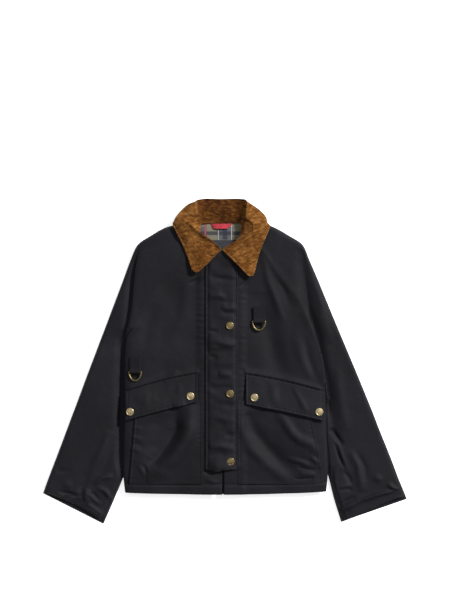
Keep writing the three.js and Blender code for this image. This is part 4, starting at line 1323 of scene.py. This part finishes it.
def model_zip_teeth():
    """Teeth that close alternately from both sides, repeated up the tape."""
    clear_selection()
    middle = (ZIP_EDGE["right"] + ZIP_EDGE["left"]) / 2
    low = float(front_plain(np.float64(middle), np.float64(HEM_Y)))
    bpy.ops.mesh.primitive_cube_add(size=1, location=((middle - 0.75) * MM, (HEM_Y + 6) * MM,
                                                      (low - 0.9) * MM))
    teeth = bpy.context.object
    teeth.name = "zip_teeth"
    bpy.ops.transform.resize(value=(2.6 * MM, 1.1 * MM, 1.5 * MM))
    bpy.ops.object.transform_apply(location=True, scale=True)
    bpy.ops.object.mode_set(mode="EDIT")
    bpy.ops.mesh.select_mode(type="FACE")
    choose(teeth, lambda face: face.normal.z > 0.9)
    bpy.ops.transform.resize(value=(0.8, 0.6, 1))
    bpy.ops.mesh.select_all(action="SELECT")
    bpy.ops.mesh.duplicate_move(TRANSFORM_OT_translate={"value": (1.5 * MM, TOOTH_PITCH / 2 * MM, 0)})
    bpy.ops.object.mode_set(mode="OBJECT")
    count = int((ZIP_TOP - HEM_Y - 12) / TOOTH_PITCH)
    climb = float(front_plain(np.float64(middle), np.float64(ZIP_TOP))) - low
    apply_modifier(teeth, "ARRAY", count=count, use_relative_offset=False, use_constant_offset=True,
                   constant_offset_displace=(0, TOOTH_PITCH * MM, climb / count * MM))
    return teeth


# ---- the jacket ------------------------------------------------------------------------------
cotton = dark_cotton()
corduroy = tan_corduroy()
old_brass = brushed_brass("antique_brass", (0.17, 0.125, 0.055), (0.27, 0.205, 0.1))
bright_brass = brushed_brass("worn_brass", (0.38, 0.3, 0.16), (0.55, 0.45, 0.27))
webbing = black_webbing()
check = checked_cloth()
slate = simple_cloth("label_cloth", (0.03, 0.034, 0.04))
red = simple_cloth("red_ribbon", (0.42, 0.035, 0.05), 0.5, 0.0012)
thread = simple_cloth("dark_thread", (0.016, 0.017, 0.021))
pale_thread = simple_cloth("grey_thread", (0.05, 0.05, 0.056))
tape = simple_cloth("zip_tape", (0.006, 0.006, 0.007))


def declare_sheet(grid):
    flat = grid_area(grid) * MM * MM
    width = np.linalg.norm(np.diff(grid, axis=1), axis=2).sum(axis=1).max() * MM
    length = np.linalg.norm(np.diff(grid, axis=0), axis=2).sum(axis=0).max() * MM


def fit(piece, material, node=None, body="jacket"):
    piece.data.materials.clear()
    piece.data.materials.append(material)
    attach(piece, body)
    if node:
        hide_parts(node)


def sew(name, grid, wall, node, material=cotton, floor=None):
    piece = cloth(name, grid, wall, floor)
    fit(piece, material, node)
    declare_sheet(grid)
    return piece


add_camera()
add_studio()
seams = []
for side in ("right", "left"):
    grid = front_grid(side)
    sew(f"front_cloth_{side}", grid, WALL, f"front_{side}",
        floor=lambda x, y, side=side: back_top(side, x, y) + RIM_GAP)
    seams.append(line_on(grid, "first_row", HEM_BAND, 6))
    grid = sleeve_front_grid(side)
    sew(f"sleeve_front_cloth_{side}", grid, WALL, f"sleeve_front_{side}",
        floor=lambda x, y: np.full(x.shape, RIM))
    raglan = [line_on(grid, "first_column", inset, 4) for inset in (2.6, 8.5)]
    below = len(raglan[0][0]) * 11 // 20
    seams += [(points[:below], ups[:below]) for points, ups in raglan]
    sew(f"sleeve_back_cloth_{side}", sleeve_back_grid(side), WALL, f"sleeve_back_{side}")
    sew(f"pocket_cloth_{side}", pocket_grid(side), PATCH_WALL, f"pocket_{side}")
    grid = flap_grid(side)
    sew(f"flap_cloth_{side}", grid, FLAP_WALL, f"flap_{side}")
    seams += [line_on(grid, "first_row", 3, 4), line_on(grid, "first_row", 9, 4)]
    seams += edge_lines(grid, "last_row", "first_column", "last_column")
sew("back_cloth", back_grid(), WALL, "back")
grid = fly_grid()
sew("storm_fly_cloth", grid, FLY["wall"], "storm_fly")
seams += edge_lines(grid, "first_row", "first_column", "last_column")
grid = collar_grid()
collar = sew("collar_corduroy", grid, CORD_WALL, "collar", corduroy)
wale_uvs(collar)
fit(stitch_piece("garment_stitches", seams), thread)
on_lining = LINING_TOP + SEAM
sew("lining_cloth", patch_grid(LINING_CORNERS, LINING_TOP), THIN_WALL, "lining", check)
sew("label_patch", patch_grid(LABEL_CORNERS, on_lining + LABEL_WALL), LABEL_WALL, "label", slate)
grid = patch_grid(LOOP_CORNERS, on_lining + THIN_WALL, 3.4)
sew("loop_ribbon", grid, THIN_WALL, "hanger_loop", red)
fit(cloth("zip_tape", zip_grid(), THIN_WALL), tape, "zip")
fit(model_zip_teeth(), tape)
snap = model_snap()
for name, x, y, on in SNAPS:
    side = "right" if x < 0 else "left"
    under = fly_height(x, y) if on == "fly" else flap_height(side, abs(x), y)
    piece = copy_to(snap, f"{name}_cap", surface_matrix(x, y, float(under) + SNAP_LIFT))
    fit(piece, old_brass if on == "fly" else bright_brass, name)
bpy.data.objects.remove(snap)
ring = model_ring()
for (name, length), joint in zip(TABS, frame["joints"]):
    place = tab_matrix(joint)
    fit(copy_to(ring, f"ring_{name}", place), old_brass, f"dring_{name}", f"dring_{name}")
    grid = webbing_grid(length)
    tab = cloth(f"webbing_{name}", grid, THIN_WALL, turn=False)
    tab.data.transform(place)
    fit(tab, webbing, f"tab_{name}")
    fit(tab_stitches(name, place), pale_thread)
    declare_sheet(grid)
bpy.data.objects.remove(ring)
